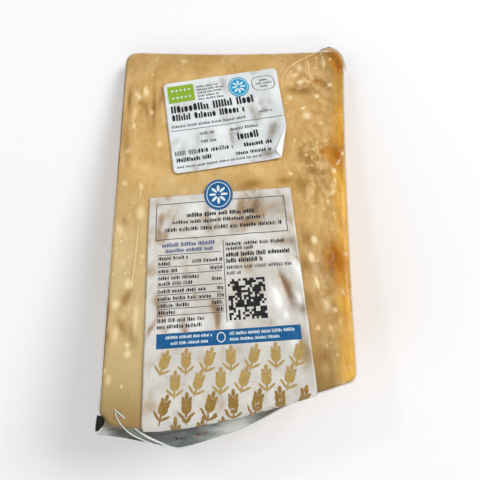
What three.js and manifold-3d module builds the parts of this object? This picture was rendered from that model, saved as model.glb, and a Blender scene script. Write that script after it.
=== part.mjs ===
import * as THREE from "three";
import { mergeVertices } from "three/addons/utils/BufferGeometryUtils.js";
import Module from "manifold-3d";

// A vacuum-packed wedge of parmesan, in millimetres. It is a sector of a half wheel and lies on one
// of its two cut faces. +Y points to the thin tip, near the wheel's axis, -Y to the thick heel with
// the round rind, +X to the flat rind and -X to the cut at the wheel's mid height. +Z is up, and the
// wheel's axis runs along X, past the tip. The finished part is moved so that its origin is on the
// flat underside, below the middle.
const MIDDLE_X = 2.6;
const MIDDLE_Y = 17.2;

// The wedge
const WEDGE_ANGLE = THREE.MathUtils.degToRad(11.5);
const AXIS_Y = 148; // where the two cut faces would meet
// Corners of the outline seen from above, anticlockwise from the heel's left corner: where the edges
// would meet, the size of the rounding, and the point that the edge after the corner bows towards
const CORNERS = [
  { at: new THREE.Vector2(-54.9, -64), round: 5, bow: new THREE.Vector2(-30, -72.5) },
  { at: new THREE.Vector2(38.8, -56.6), round: 3.2, bow: new THREE.Vector2(48, 21) },
  { at: new THREE.Vector2(61.8, 101.6), round: 9, bow: new THREE.Vector2(5, 103.8) },
  { at: new THREE.Vector2(-54.9, 112.6), round: 9, bow: new THREE.Vector2(-55.1, 23) },
];
const EDGE_RADIUS = 3.4;
const EDGE_SHARE = 0.4; // of the thickness, where the tip is too thin for the full radius
const HEEL_LEAN = 1.5; // how far the heel's foot stands out past its upper edge
const SIDE_SWELL = 0.7; // unevenness of the side walls

// Relief of the upper face: waves as [length, height], and lumps and dents as named ovals
const WAVES = [
  [34, 0.62],
  [14, 0.24],
];
const RELIEF_MARGIN = 7.5; // the relief fades out over this distance from the edge
const MARKS = [
  { x: 17.5, y: -23.3, along: 8.5, across: 5.2, turn: -0.35, height: -1.2 }, // below the long label
  { x: 25, y: -20, along: 6, across: 4.5, turn: -0.2, height: 0.5 },
  { x: 21.5, y: -33, along: 6, across: 5, turn: 0.2, height: 0.5 },
  { x: 33.5, y: -12, along: 9, across: 4.6, turn: 0.1, height: -1.1 }, // broken rind edge
  { x: 44, y: 42, along: 6.5, across: 4.4, turn: 0.3, height: -1 },
  { x: 51, y: 86, along: 6, across: 4.5, turn: 0.4, height: -0.7 },
  { x: -47, y: 80, along: 10, across: 3.4, turn: -0.2, height: 0.8 },
  { x: -44, y: 69, along: 8, across: 3.4, turn: 0.5, height: -0.6 },
  { x: -47, y: 48, along: 9, across: 4, turn: 0.1, height: 0.6 },
  { x: -46, y: -36, along: 9, across: 5, turn: 0.2, height: -0.6 },
];

// The fin of spare film along the heel
const FIN_LEFT_X = -53;
const FIN_RIGHT_X = 33;
const FIN_THICKNESS = 1.0;
const FIN_ROOT_DEPTH = 2.2; // how far its root reaches into the wedge
const FIN_BASE_REACH = 2.4;
const FIN_PEAK_REACH = 5.2; // added to the base reach at the peak
const FIN_PEAK_X = -22;
const FIN_PEAK_WIDTH = 29;
const FIN_SINK = [2.8, 8.6, 12.5]; // below the upper edge: at its left end, label and right end
const FIN_SAG = 2.2;
const FIN_CURL = 1.6; // how far its rim turns up again

// Folds of film as points [x, y, depth below the plain upper face], with the radius of the ridge
const PLEAT = {
  points: [
    [-48.5, -59.5, 0.6],
    [-43.8, -65.4, 4.9],
    [-38.8, -69.6, 9.4],
    [-28.5, -74.6, 9.2],
  ],
  radius: 1.2,
};
const CREASE = {
  points: [
    [28, 86.8, 0.5],
    [36, 94, 0.4],
    [45, 99, 0.6],
    [53, 100.6, 1.2],
  ],
  radius: 1,
};
const EAR = { x: 53, y: 98.4, depth: 1.6, half: new THREE.Vector3(7.2, 5.4, 0.8), turn: -0.35 };

// The two labels lie on the film
const LABEL_GAP = 0.6;
const LABEL_THICKNESS = 0.5;
const LABEL_STEP = 4.4;
const LABEL_CORNER = 2.5;
// The short label's corners, and the fold of its lower right corner from the edge to the foot
const SHORT_LABEL = {
  topLeft: new THREE.Vector2(-33.5, 86.2),
  topRight: new THREE.Vector2(24.3, 91.2),
  footLeft: new THREE.Vector2(-27.6, 33.4),
  foldEdge: new THREE.Vector2(25.3, 54.9),
  foldFoot: new THREE.Vector2(21.2, 37.4),
  foldTip: new THREE.Vector2(17.4, 41.4), // where the turned corner now points
  foldLift: 1.3,
};
const LONG_LABEL = { left: -38.3, right: 23.4, top: 22.4, heelHang: 2.2 };
const SEAL_CENTRE = new THREE.Vector2(-8, 21.4);
const SEAL_RADIUS = 6.4;
const SEAL_LIFT = 0.12; // of the round tab above the sheet it is part of

// Fineness of the meshes
const OUTLINE_STEP = 6;
const CORNER_STEPS = 5;
const FILLET_STEPS = 4;
const WALL_STEPS = 3;
const FACE_RINGS = 14;

const wasm = await Module();
wasm.setup();

// A repeatable number from 0 to 1 for each point of a whole-number lattice.
function latticeValue(i, j) {
  const s = Math.sin(i * 127.1 + j * 311.7) * 43758.5453;
  return s - Math.floor(s);
}

// Gradient noise from about -0.7 to 0.7, smooth over one unit.
function noise(x, y) {
  const i = Math.floor(x);
  const j = Math.floor(y);
  const fx = x - i;
  const fy = y - j;
  const slope = (di, dj) => {
    const angle = 2 * Math.PI * latticeValue(i + di, j + dj);
    return Math.cos(angle) * (fx - di) + Math.sin(angle) * (fy - dj);
  };
  const ease = (t) => t * t * t * (t * (6 * t - 15) + 10);
  const near = THREE.MathUtils.lerp(slope(0, 0), slope(1, 0), ease(fx));
  const far = THREE.MathUtils.lerp(slope(0, 1), slope(1, 1), ease(fx));
  return THREE.MathUtils.lerp(near, far, ease(fy));
}

// Height of the plain upper cut face.
function planeHeight(y) {
  return (AXIS_Y - y) * Math.tan(WEDGE_ANGLE);
}

function edgeRadiusAt(y) {
  return Math.min(EDGE_RADIUS, EDGE_SHARE * planeHeight(y));
}

// A point at a distance from a corner, towards another point.
function towards(corner, other, distance) {
  return corner.clone().add(other.clone().sub(corner).setLength(distance));
}

// The wedge's outline seen from above, anticlockwise, as points with outward normals. The path's
// curves are an edge, a corner, an edge and so on.
function wedgeOutline() {
  const path = new THREE.Path();
  CORNERS.forEach(({ at, round, bow }, i) => {
    const next = CORNERS[(i + 1) % CORNERS.length];
    const leave = towards(at, bow, round);
    const arrive = towards(next.at, bow, next.round);
    if (i === 0) path.moveTo(leave.x, leave.y);
    path.quadraticCurveTo(bow.x, bow.y, arrive.x, arrive.y);
    const turned = towards(next.at, next.bow, next.round);
    path.quadraticCurveTo(next.at.x, next.at.y, turned.x, turned.y);
  });
  return path.curves.flatMap((curve, i) => {
    const count = i % 2 === 0 ? Math.round(curve.getLength() / OUTLINE_STEP) : CORNER_STEPS;
    return Array.from({ length: count }, (_, k) => {
      const along = curve.getTangentAt(k / count);
      return { point: curve.getPointAt(k / count), normal: new THREE.Vector2(along.y, -along.x) };
    });
  });
}

const outline = wedgeOutline();
const middle = new THREE.Vector2(MIDDLE_X, MIDDLE_Y);
const heel = outline.filter(({ normal }) => normal.y < -0.8).map(({ point }) => point);
heel.sort((a, b) => a.x - b.x);

// Distance from a point inside the outline to its nearest edge.
function edgeDistance(x, y) {
  let least = Infinity;
  for (const { point, normal } of outline) {
    const inward = (point.x - x) * normal.x + (point.y - y) * normal.y;
    least = Math.min(least, inward);
  }
  return Math.max(0, least);
}

// Waves, lumps and dents of the upper face, at full strength away from its edges.
function relief(x, y) {
  let height = 0;
  for (const [length, strength] of WAVES) height += strength * noise(x / length, y / length);
  for (const mark of MARKS) {
    const dx = x - mark.x;
    const dy = y - mark.y;
    const along = (dy * Math.cos(mark.turn) - dx * Math.sin(mark.turn)) / mark.along;
    const across = (dx * Math.cos(mark.turn) + dy * Math.sin(mark.turn)) / mark.across;
    height += mark.height * Math.exp(-(along * along + across * across));
  }
  return height * THREE.MathUtils.smoothstep(edgeDistance(x, y), EDGE_RADIUS, RELIEF_MARGIN);
}

function faceHeight(x, y) {
  return planeHeight(y) + relief(x, y);
}

// Joins rings of points, each with the same count, between two end points into one closed surface.
function closedRings(rings, firstPole, lastPole) {
  const count = rings[0].length;
  const vertices = [firstPole, ...rings.flat(), lastPole];
  const index = [];
  const at = (ring, i) => 1 + ring * count + (i % count);
  for (let i = 0; i < count; i++) {
    index.push(0, at(0, i + 1), at(0, i));
    for (let ring = 0; ring + 1 < rings.length; ring++) {
      index.push(at(ring, i), at(ring, i + 1), at(ring + 1, i + 1));
      index.push(at(ring, i), at(ring + 1, i + 1), at(ring + 1, i));
    }
    index.push(at(rings.length - 1, i), at(rings.length - 1, i + 1), vertices.length - 1);
  }
  return new THREE.BufferGeometry().setFromPoints(vertices).setIndex(index);
}

// The wedge: flat underside, rounded foot, side walls, rounded upper edge, upper face with relief.
function wedgeGeometry() {
  const ring = (place) => outline.map(({ point, normal }) => place(point, normal));
  const inset = (point, normal, distance) => point.clone().addScaledVector(normal, -distance);
  const rings = [];
  for (let i = 0; i <= FILLET_STEPS; i++) {
    const angle = (i / FILLET_STEPS) * (Math.PI / 2);
    rings.push(
      ring((point, normal) => {
        const radius = edgeRadiusAt(point.y);
        const lean = HEEL_LEAN * Math.max(0, -normal.y) ** 2;
        const p = inset(point, normal, radius * (1 - Math.sin(angle)) - lean);
        return new THREE.Vector3(p.x, p.y, radius * (1 - Math.cos(angle)));
      }),
    );
  }
  for (let i = 1; i < WALL_STEPS; i++) {
    const share = i / WALL_STEPS;
    rings.push(
      ring((point, normal) => {
        const radius = edgeRadiusAt(point.y);
        const high = planeHeight(point.y) - radius;
        const lean = HEEL_LEAN * Math.max(0, -normal.y) ** 2 * (1 - share);
        const wave = noise((point.x + point.y) / 21, 7 * share + (point.y - point.x) / 21);
        const swell = SIDE_SWELL * wave * Math.min(1, high / 20);
        const p = inset(point, normal, swell - lean);
        return new THREE.Vector3(p.x, p.y, THREE.MathUtils.lerp(radius, high, share));
      }),
    );
  }
  for (let i = 0; i <= FILLET_STEPS; i++) {
    const angle = (i / FILLET_STEPS) * (Math.PI / 2);
    rings.push(
      ring((point, normal) => {
        const radius = edgeRadiusAt(point.y);
        const inner = inset(point, normal, radius);
        const p = inset(point, normal, radius * (1 - Math.cos(angle)));
        const drop = radius * (1 - Math.sin(angle));
        return new THREE.Vector3(p.x, p.y, planeHeight(inner.y) - drop);
      }),
    );
  }
  for (let i = 1; i < FACE_RINGS; i++) {
    rings.push(
      ring((point, normal) => {
        const p = inset(point, normal, edgeRadiusAt(point.y)).lerp(middle, i / FACE_RINGS);
        return new THREE.Vector3(p.x, p.y, faceHeight(p.x, p.y));
      }),
    );
  }
  const foot = new THREE.Vector3(middle.x, middle.y, 0);
  const crown = new THREE.Vector3(middle.x, middle.y, faceHeight(middle.x, middle.y));
  return closedRings(rings, foot, crown);
}

// The heel's outline as y for a given x.
function heelY(x) {
  const k = THREE.MathUtils.clamp(heel.findIndex((p) => p.x > x), 1, heel.length - 1);
  const share = THREE.MathUtils.clamp((x - heel[k - 1].x) / (heel[k].x - heel[k - 1].x), 0, 1);
  return THREE.MathUtils.lerp(heel[k - 1].y, heel[k].y, share);
}

// The fin of spare film, a curled sheet along the heel that lies below the long label's lower end.
function finGeometry() {
  const columns = 26;
  const rows = 5;
  const [leftSink, labelSink, rightSink] = FIN_SINK;
  const { smoothstep, lerp } = THREE.MathUtils;
  const sections = [];
  for (let c = 0; c <= columns; c++) {
    const x = lerp(FIN_LEFT_X, FIN_RIGHT_X, c / columns);
    const edge = heelY(x);
    const peak = Math.exp(-(((x - FIN_PEAK_X) / FIN_PEAK_WIDTH) ** 2));
    const reach = FIN_BASE_REACH + FIN_PEAK_REACH * peak;
    const toLabel = smoothstep(x, FIN_LEFT_X, LONG_LABEL.left - 0.5);
    const toRight = smoothstep(x, FIN_PEAK_X, FIN_RIGHT_X);
    const sink = lerp(lerp(leftSink, labelSink, toLabel), rightSink, toRight);
    const root = planeHeight(edge) - sink;
    const upper = [];
    const lower = [];
    for (let r = 0; r <= rows; r++) {
      const out = r / rows;
      const y = edge + FIN_ROOT_DEPTH - out * (reach + FIN_ROOT_DEPTH);
      const z = root - FIN_SAG * out + (FIN_SAG + FIN_CURL) * out ** 4;
      upper.push(new THREE.Vector3(x, y, z + FIN_THICKNESS / 2));
      lower.unshift(new THREE.Vector3(x, y, z - FIN_THICKNESS / 2));
    }
    sections.push([...upper, ...lower]);
  }
  const centreOf = (section) =>
    section.reduce((sum, p) => sum.add(p), new THREE.Vector3()).divideScalar(section.length);
  return closedRings(sections, centreOf(sections[0]), centreOf(sections.at(-1)));
}

// A fold of film as a tapered ridge through its points.
function foldGeometry({ points, radius }) {
  const steps = 12;
  const sides = 7;
  const curve = new THREE.CatmullRomCurve3(
    points.map(([x, y, depth]) => new THREE.Vector3(x, y, planeHeight(y) - depth)),
  );
  const rings = [];
  for (let i = 0; i <= steps; i++) {
    const share = i / steps;
    const centre = curve.getPointAt(share);
    const along = curve.getTangentAt(share);
    const across = new THREE.Vector3(-along.y, along.x, 0).normalize();
    const up = new THREE.Vector3().crossVectors(along, across);
    const size = radius * (0.25 + 0.75 * Math.sin(Math.PI * (0.15 + 0.7 * share)));
    const ring = [];
    for (let k = 0; k < sides; k++) {
      const angle = (k / sides) * 2 * Math.PI;
      const side = across.clone().multiplyScalar(size * Math.cos(angle));
      ring.push(centre.clone().add(side).addScaledVector(up, size * Math.sin(angle)));
    }
    rings.push(ring);
  }
  return closedRings(rings, curve.getPointAt(0), curve.getPointAt(1));
}

// The ear of film at the right tip corner, a flat lens.
function earGeometry() {
  const geometry = new THREE.SphereGeometry(1, 20, 8);
  geometry.scale(EAR.half.x, EAR.half.z, EAR.half.y);
  geometry.rotateX(Math.PI / 2);
  geometry.rotateZ(EAR.turn);
  return geometry.translate(EAR.x, EAR.y, planeHeight(EAR.y) - EAR.depth);
}

// A point on the skin of the pack, lifted off it. Beyond the heel's edge it follows the rounded edge
// and then the heel downwards: past is the way left after the face has ended.
function skinPoint(x, y, lift) {
  const edge = heelY(x);
  const bend = edge + EDGE_RADIUS;
  if (y >= bend) {
    return new THREE.Vector3(
      x,
      y + lift * Math.sin(WEDGE_ANGLE),
      faceHeight(x, y) + lift * Math.cos(WEDGE_ANGLE),
    );
  }
  const past = bend - y;
  const quarter = Math.PI / 2 - WEDGE_ANGLE;
  const angle = Math.min(quarter, past / EDGE_RADIUS) + WEDGE_ANGLE;
  const down = Math.max(0, past - quarter * EDGE_RADIUS);
  const reach = EDGE_RADIUS + lift;
  const centre = planeHeight(bend) - EDGE_RADIUS;
  const lean = (HEEL_LEAN * down) / planeHeight(edge);
  return new THREE.Vector3(
    x,
    bend - reach * Math.sin(angle) - lean,
    centre + reach * Math.cos(angle) - down,
  );
}

// A thin sheet from rows of flat points. place(x, y, lift) puts each of them on the pack.
function sheetGeometry(rows, place) {
  const columns = rows[0].length;
  const vertices = [];
  for (const lift of [LABEL_GAP + LABEL_THICKNESS, LABEL_GAP]) {
    for (const row of rows) for (const p of row) vertices.push(place(p.x, p.y, lift));
  }
  const sheet = rows.length * columns;
  const index = [];
  const quad = (a, b, c, d) => index.push(a, b, c, a, c, d);
  const at = (r, c) => r * columns + c;
  for (let r = 0; r + 1 < rows.length; r++) {
    for (let c = 0; c + 1 < columns; c++) {
      const [a, b, d, e] = [at(r, c), at(r, c + 1), at(r + 1, c + 1), at(r + 1, c)];
      quad(a, e, d, b);
      quad(sheet + a, sheet + b, sheet + d, sheet + e);
    }
    quad(at(r, 0), sheet + at(r, 0), sheet + at(r + 1, 0), at(r + 1, 0));
    const last = columns - 1;
    quad(at(r + 1, last), sheet + at(r + 1, last), sheet + at(r, last), at(r, last));
  }
  const bottom = rows.length - 1;
  for (let c = 0; c + 1 < columns; c++) {
    quad(at(0, c + 1), sheet + at(0, c + 1), sheet + at(0, c), at(0, c));
    quad(at(bottom, c), sheet + at(bottom, c), sheet + at(bottom, c + 1), at(bottom, c + 1));
  }
  return new THREE.BufferGeometry().setFromPoints(vertices).setIndex(index);
}

// How much a rounded corner takes off an edge, at a distance from the corner's other edge.
function cornerInset(distance) {
  const depth = Math.max(0, LABEL_CORNER - distance);
  return LABEL_CORNER - Math.sqrt(LABEL_CORNER ** 2 - depth ** 2);
}

// The short label, whose lower right corner is turned up over the fold.
function shortLabelGeometry() {
  const { topLeft, topRight, footLeft, foldEdge, foldFoot, foldTip, foldLift } = SHORT_LABEL;
  const height = topLeft.distanceTo(footLeft);
  const columns = Math.round(topLeft.distanceTo(topRight) / LABEL_STEP);
  const ends = [0, 0.25, 1, LABEL_CORNER];
  const downs = [...ends];
  const count = Math.round((height - 2 * LABEL_CORNER) / LABEL_STEP);
  for (let i = 1; i < count; i++) {
    downs.push(THREE.MathUtils.lerp(LABEL_CORNER, height - LABEL_CORNER, i / count));
  }
  downs.push(...ends.map((end) => height - end).reverse());
  const foldAt = topRight.distanceTo(foldEdge);
  const rows = downs.map((down) => {
    const left = topLeft.clone().lerp(footLeft, down / height);
    const right = topRight.clone().lerp(foldEdge, Math.min(1, down / foldAt));
    if (down > foldAt) right.lerp(foldFoot, (down - foldAt) / (height - foldAt));
    const across = right.clone().sub(left).normalize();
    left.addScaledVector(across, cornerInset(Math.min(down, height - down)));
    right.addScaledVector(across, -cornerInset(down));
    return Array.from({ length: columns + 1 }, (_, c) => left.clone().lerp(right, c / columns));
  });
  const sheet = sheetGeometry(rows, skinPoint);
  const flapRows = [foldEdge, foldFoot].map((fold) =>
    [0.02, 0.34, 0.67, 1].map((share) => foldTip.clone().lerp(fold, share)),
  );
  const flap = sheetGeometry(flapRows, (x, y, lift) => {
    const fromTip = foldTip.distanceTo(new THREE.Vector2(x, y));
    const open = Math.max(0, 1 - fromTip / foldTip.distanceTo(foldEdge));
    return skinPoint(x, y, lift + LABEL_THICKNESS * 0.6 + foldLift * open);
  });
  return [sheet, flap];
}

// The long label hangs over the heel's edge, so its rows are closer together at the bend.
function longLabelGeometry() {
  const { left, right, top, heelHang } = LONG_LABEL;
  const columns = Math.round((right - left) / LABEL_STEP);
  const faceRows = 20;
  const bendRows = 4;
  const rows = Array.from({ length: faceRows + bendRows + 2 }, () => []);
  for (let c = 0; c <= columns; c++) {
    const x = THREE.MathUtils.lerp(left, right, c / columns);
    const bend = heelY(x) + EDGE_RADIUS;
    const bendEnd = bend - EDGE_RADIUS * (Math.PI / 2 - WEDGE_ANGLE);
    rows.forEach((row, r) => {
      let y = THREE.MathUtils.lerp(top, bend, r / faceRows);
      if (r > faceRows) y = THREE.MathUtils.lerp(bend, bendEnd, (r - faceRows) / bendRows);
      if (r > faceRows + bendRows) y = bendEnd - heelHang;
      row.push(new THREE.Vector2(x, y));
    });
  }
  return sheetGeometry(rows, skinPoint);
}

// The round tab that stands up past the long label's upper edge.
function sealGeometry() {
  const count = 9;
  const rows = [];
  for (let r = 0; r <= count; r++) {
    const angle = THREE.MathUtils.lerp(0.06, Math.PI - 0.06, r / count);
    const half = SEAL_RADIUS * Math.sin(angle);
    const y = SEAL_CENTRE.y + SEAL_RADIUS * Math.cos(angle);
    const row = [];
    for (let c = 0; c <= count; c++) {
      row.push(new THREE.Vector2(SEAL_CENTRE.x + half * ((2 * c) / count - 1), y));
    }
    rows.push(row);
  }
  return sheetGeometry(rows, (x, y, lift) => skinPoint(x, y, lift + SEAL_LIFT));
}

// A closed geometry as a solid for joining.
function solidOf(geometry) {
  const plain = geometry.clone();
  plain.deleteAttribute("normal");
  plain.deleteAttribute("uv");
  const merged = mergeVertices(plain, 1e-4);
  return new wasm.Manifold(
    new wasm.Mesh({
      numProp: 3,
      vertProperties: merged.attributes.position.array,
      triVerts: new Uint32Array(merged.index.array),
    }),
  );
}

function joined(geometries) {
  const solid = geometries.map(solidOf).reduce((sum, next) => sum.add(next));
  const mesh = solid.getMesh();
  const geometry = new THREE.BufferGeometry();
  geometry.setAttribute("position", new THREE.BufferAttribute(mesh.vertProperties, 3));
  geometry.setIndex(new THREE.BufferAttribute(mesh.triVerts, 1));
  geometry.translate(-MIDDLE_X, -MIDDLE_Y, 0);
  geometry.computeVertexNormals();
  return geometry;
}

function namedMesh(name, geometry, colour, roughness) {
  const material = new THREE.MeshStandardMaterial({ color: colour, roughness, metalness: 0 });
  const mesh = new THREE.Mesh(geometry, material);
  mesh.name = name;
  return mesh;
}

// The wedge with its film, whose fin, pleat, crease and ear stand off the cheese.
function vacuumPack() {
  const folds = [PLEAT, CREASE].map(foldGeometry);
  return joined([wedgeGeometry(), finGeometry(), ...folds, earGeometry()]);
}

const group = new THREE.Group();
group.add(namedMesh("vacuum_pack", vacuumPack(), 0xd8b878, 0.35));
group.add(namedMesh("short_label", joined(shortLabelGeometry()), 0xf0f0ee, 0.5));
group.add(namedMesh("long_label", joined([longLabelGeometry(), sealGeometry()]), 0xeae6e4, 0.45));

export default group;
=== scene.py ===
import bpy
import numpy as np
from mathutils import Matrix, Vector


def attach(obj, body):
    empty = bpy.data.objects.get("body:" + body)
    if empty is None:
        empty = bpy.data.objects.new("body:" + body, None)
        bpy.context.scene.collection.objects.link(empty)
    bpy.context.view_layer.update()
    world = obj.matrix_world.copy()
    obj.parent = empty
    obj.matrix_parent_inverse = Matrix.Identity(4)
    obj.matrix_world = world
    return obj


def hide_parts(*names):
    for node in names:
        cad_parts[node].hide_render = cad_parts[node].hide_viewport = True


# The looks of a vacuum-packed wedge of parmesan. All shapes are worked out in millimetres in the
# wedge's own frame, where +Y points to the thin tip, -Y to the heel and +X to the flat rind, and
# are moved by MIDDLE and turned into metres when a mesh is made.

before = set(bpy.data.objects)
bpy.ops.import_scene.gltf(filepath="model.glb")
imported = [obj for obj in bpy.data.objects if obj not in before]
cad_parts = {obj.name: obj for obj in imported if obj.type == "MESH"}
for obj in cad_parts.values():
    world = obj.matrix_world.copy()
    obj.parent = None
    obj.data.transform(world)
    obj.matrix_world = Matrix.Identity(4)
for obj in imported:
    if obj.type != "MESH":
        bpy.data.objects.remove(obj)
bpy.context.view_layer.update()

# The wedge, with the sizes of part.mjs
MM = 0.001
MIDDLE = np.array([2.6, 17.2, 0])
WEDGE_ANGLE = np.radians(11.5)
AXIS_Y = 148
CORNERS = [
    ((-54.9, -64), 5, (-30, -72.5)),
    ((38.8, -56.6), 3.2, (48, 21)),
    ((61.8, 101.6), 9, (5, 103.8)),
    ((-54.9, 112.6), 9, (-55.1, 23)),
]
EDGE_RADIUS = 3.4
EDGE_SHARE = 0.4
EDGE_RINGS = 8
WALL_RINGS = 14
HEEL_LEAN = 1.5
SIDE_SWELL = 0.7
WAVES = [(34, 0.62), (14, 0.24)]
RELIEF_MARGIN = 7.5
# Lumps and dents: x, y, length, width, turn and height
MARKS = [
    (17.5, -23.3, 8.5, 5.2, -0.35, -1.2), (25, -20, 6, 4.5, -0.2, 0.5), (21.5, -33, 6, 5, 0.2, 0.5),
    (33.5, -12, 9, 4.6, 0.1, -1.1), (44, 42, 6.5, 4.4, 0.3, -1), (51, 86, 6, 4.5, 0.4, -0.7),
    (-47, 80, 10, 3.4, -0.2, 0.8), (-44, 69, 8, 3.4, 0.5, -0.6), (-47, 48, 9, 4, 0.1, 0.6),
    (-46, -36, 9, 5, 0.2, -0.6),
]

# The layers on the plain surface of the wedge, as heights above it
CHEESE_LIFT = -0.3
CHEESE_FOOT = 0.25
FILM_LIFT = 0.06
LABEL_LIFT = 0.42
LABEL_THICKNESS = 0.16
INK_LIFT = 0.05
INK_LAYER = 0.03

# The longest steps between points of a printed bar and between rings of a printed oval
BAR_STEP, OVAL_STEP = 0.7, 0.8
PRINT_SEED = 5

# The long sticker's sides and upper edge, and how far it hangs down the heel
LABEL_LEFT, LABEL_RIGHT = -38.3, 23.4
LABEL_TOP = 22.4
HEEL_HANG = 2.2


def smooth(value, low, high):
    """0 below low, 1 above high and smooth between them."""
    share = np.clip((value - low) / (high - low), 0, 1)
    return share * share * (3 - 2 * share)


def lattice(i, j):
    value = np.sin(i * 127.1 + j * 311.7) * 43758.5453
    return value - np.floor(value)


def noise(x, y):
    """Gradient noise from about -0.7 to 0.7, smooth over one unit."""
    x, y = np.broadcast_arrays(np.asarray(x, float), np.asarray(y, float))
    i, j = np.floor(x), np.floor(y)
    fx, fy = x - i, y - j

    def slope(di, dj):
        angle = 2 * np.pi * lattice(i + di, j + dj)
        return np.cos(angle) * (fx - di) + np.sin(angle) * (fy - dj)

    ease_x = fx**3 * (fx * (6 * fx - 15) + 10)
    ease_y = fy**3 * (fy * (6 * fy - 15) + 10)
    near = slope(0, 0) * (1 - ease_x) + slope(1, 0) * ease_x
    far = slope(0, 1) * (1 - ease_x) + slope(1, 1) * ease_x
    return near * (1 - ease_y) + far * ease_y


def spot(x, y, centre_x, centre_y, along, across, turn):
    """A soft oval spot, 1 at its centre."""
    dx, dy = x - centre_x, y - centre_y
    v = (dy * np.cos(turn) - dx * np.sin(turn)) / along
    u = (dx * np.cos(turn) + dy * np.sin(turn)) / across
    return np.exp(-(u * u + v * v))


def marks_at(marks, x, y):
    """The sum of soft spots, each as x, y, along, across, turn and strength."""
    return sum(mark[5] * spot(x, y, *mark[:5]) for mark in marks)


def plane_height(y):
    return (AXIS_Y - y) * np.tan(WEDGE_ANGLE)


def edge_radius(y):
    return np.minimum(EDGE_RADIUS, EDGE_SHARE * plane_height(y))


def wedge_outline(count):
    """Evenly spaced points round the wedge, anticlockwise from the heel's left end, with normals."""

    def towards(corner, other, distance):
        way = np.subtract(other, corner)
        return corner + way / np.linalg.norm(way) * distance

    curves = []
    for k, (corner, size, bow) in enumerate(CORNERS):
        next_corner, next_size, next_bow = CORNERS[(k + 1) % len(CORNERS)]
        leave = towards(corner, bow, size)
        arrive = towards(next_corner, bow, next_size)
        turned = towards(next_corner, next_bow, next_size)
        curves.append((leave, np.array(bow), arrive))
        curves.append((arrive, np.array(next_corner), turned))
    t = np.linspace(0, 1, 240, endpoint=False)[:, None]
    line = np.concatenate([(1 - t) ** 2 * a + 2 * t * (1 - t) * b + t**2 * c for a, b, c in curves])
    way = np.concatenate([(1 - t) * (b - a) + t * (c - b) for a, b, c in curves])
    steps = np.linalg.norm(np.roll(line, -1, 0) - line, axis=1)
    places = np.concatenate([[0], np.cumsum(steps)])
    at = np.linspace(0, places[-1], count, endpoint=False)
    line, way = np.vstack([line, line[:1]]), np.vstack([way, way[:1]])
    points = np.stack([np.interp(at, places, line[:, k]) for k in (0, 1)], 1)
    along = np.stack([np.interp(at, places, way[:, k]) for k in (0, 1)], 1)
    along /= np.linalg.norm(along, axis=1, keepdims=True)
    return points, np.stack([along[:, 1], -along[:, 0]], 1)


OUTLINE, OUTLINE_NORMALS = wedge_outline(300)
HEEL = OUTLINE[OUTLINE_NORMALS[:, 1] < -0.8]
HEEL = HEEL[np.argsort(HEEL[:, 0])]


def heel_y(x):
    return np.interp(x, HEEL[:, 0], HEEL[:, 1])


def edge_distance(x, y):
    least = np.full(np.shape(x), np.inf)
    for point, normal in zip(OUTLINE, OUTLINE_NORMALS):
        least = np.minimum(least, (point[0] - x) * normal[0] + (point[1] - y) * normal[1])
    return np.maximum(least, 0)


def relief(x, y):
    height = sum(strength * noise(x / length, y / length) for length, strength in WAVES)
    height = height + marks_at(MARKS, x, y)
    return height * smooth(edge_distance(x, y), EDGE_RADIUS, RELIEF_MARGIN)


def skin_point(x, y, lift):
    """A point on the wedge's skin, lifted off it. Past the heel's edge it follows the bend down."""
    x, y, lift = np.broadcast_arrays(x, y, lift)
    edge = heel_y(x)
    bend = edge + EDGE_RADIUS
    face_z = plane_height(y) + relief(x, y) + lift * np.cos(WEDGE_ANGLE)
    face = np.stack([x, y + lift * np.sin(WEDGE_ANGLE), face_z], -1)
    past = np.maximum(bend - y, 0)
    quarter = np.pi / 2 - WEDGE_ANGLE
    angle = np.minimum(quarter, past / EDGE_RADIUS) + WEDGE_ANGLE
    down = np.maximum(0, past - quarter * EDGE_RADIUS)
    reach = EDGE_RADIUS + lift
    centre = plane_height(bend) - EDGE_RADIUS
    lean = HEEL_LEAN * down / plane_height(edge)
    hung_y = bend - reach * np.sin(angle) - lean
    hung = np.stack([x, hung_y, centre + reach * np.cos(angle) - down], -1)
    return np.where((y >= bend)[..., None], face, hung)


# Mesh helpers


def ring_faces(rings, count):
    """Quads between rings of points, one after another."""
    a = np.arange(rings - 1)[:, None] * count + np.arange(count)[None, :]
    b = np.arange(rings - 1)[:, None] * count + (np.arange(count)[None, :] + 1) % count
    return np.stack([a, b, b + count, a + count], -1).reshape(-1, 4)


def grid_faces(rows, columns):
    a = np.arange(rows - 1)[:, None] * columns + np.arange(columns - 1)[None, :]
    return np.stack([a, a + columns, a + columns + 1, a + 1], -1).reshape(-1, 4)


def vertex_normals(points, faces):
    """Area-weighted normals of a mesh of quads."""
    cross = np.cross(points[faces[:, 2]] - points[faces[:, 0]], points[faces[:, 3]] - points[faces[:, 1]])
    total = np.zeros_like(points)
    for k in range(4):
        np.add.at(total, faces[:, k], cross)
    return total / np.maximum(np.linalg.norm(total, axis=1, keepdims=True), 1e-12)


def make_piece(name, points, faces, materials, slots=None):
    """A Blender object from points in millimetres in the wedge's own frame."""
    mesh = bpy.data.meshes.new(name)
    mesh.from_pydata(((points - MIDDLE) * MM).tolist(), [], [list(map(int, f)) for f in faces])
    for material in materials:
        mesh.materials.append(material)
    if slots is not None:
        mesh.polygons.foreach_set("material_index", np.asarray(slots, np.int32))
    mesh.polygons.foreach_set("use_smooth", [True] * len(mesh.polygons))
    mesh.update()
    piece = bpy.data.objects.new(name, mesh)
    bpy.context.collection.objects.link(piece)
    return piece


def set_attribute(piece, name, values):
    attribute = piece.data.attributes.new(name, "FLOAT", "POINT")
    attribute.data.foreach_set("value", np.asarray(values, np.float32))


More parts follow.
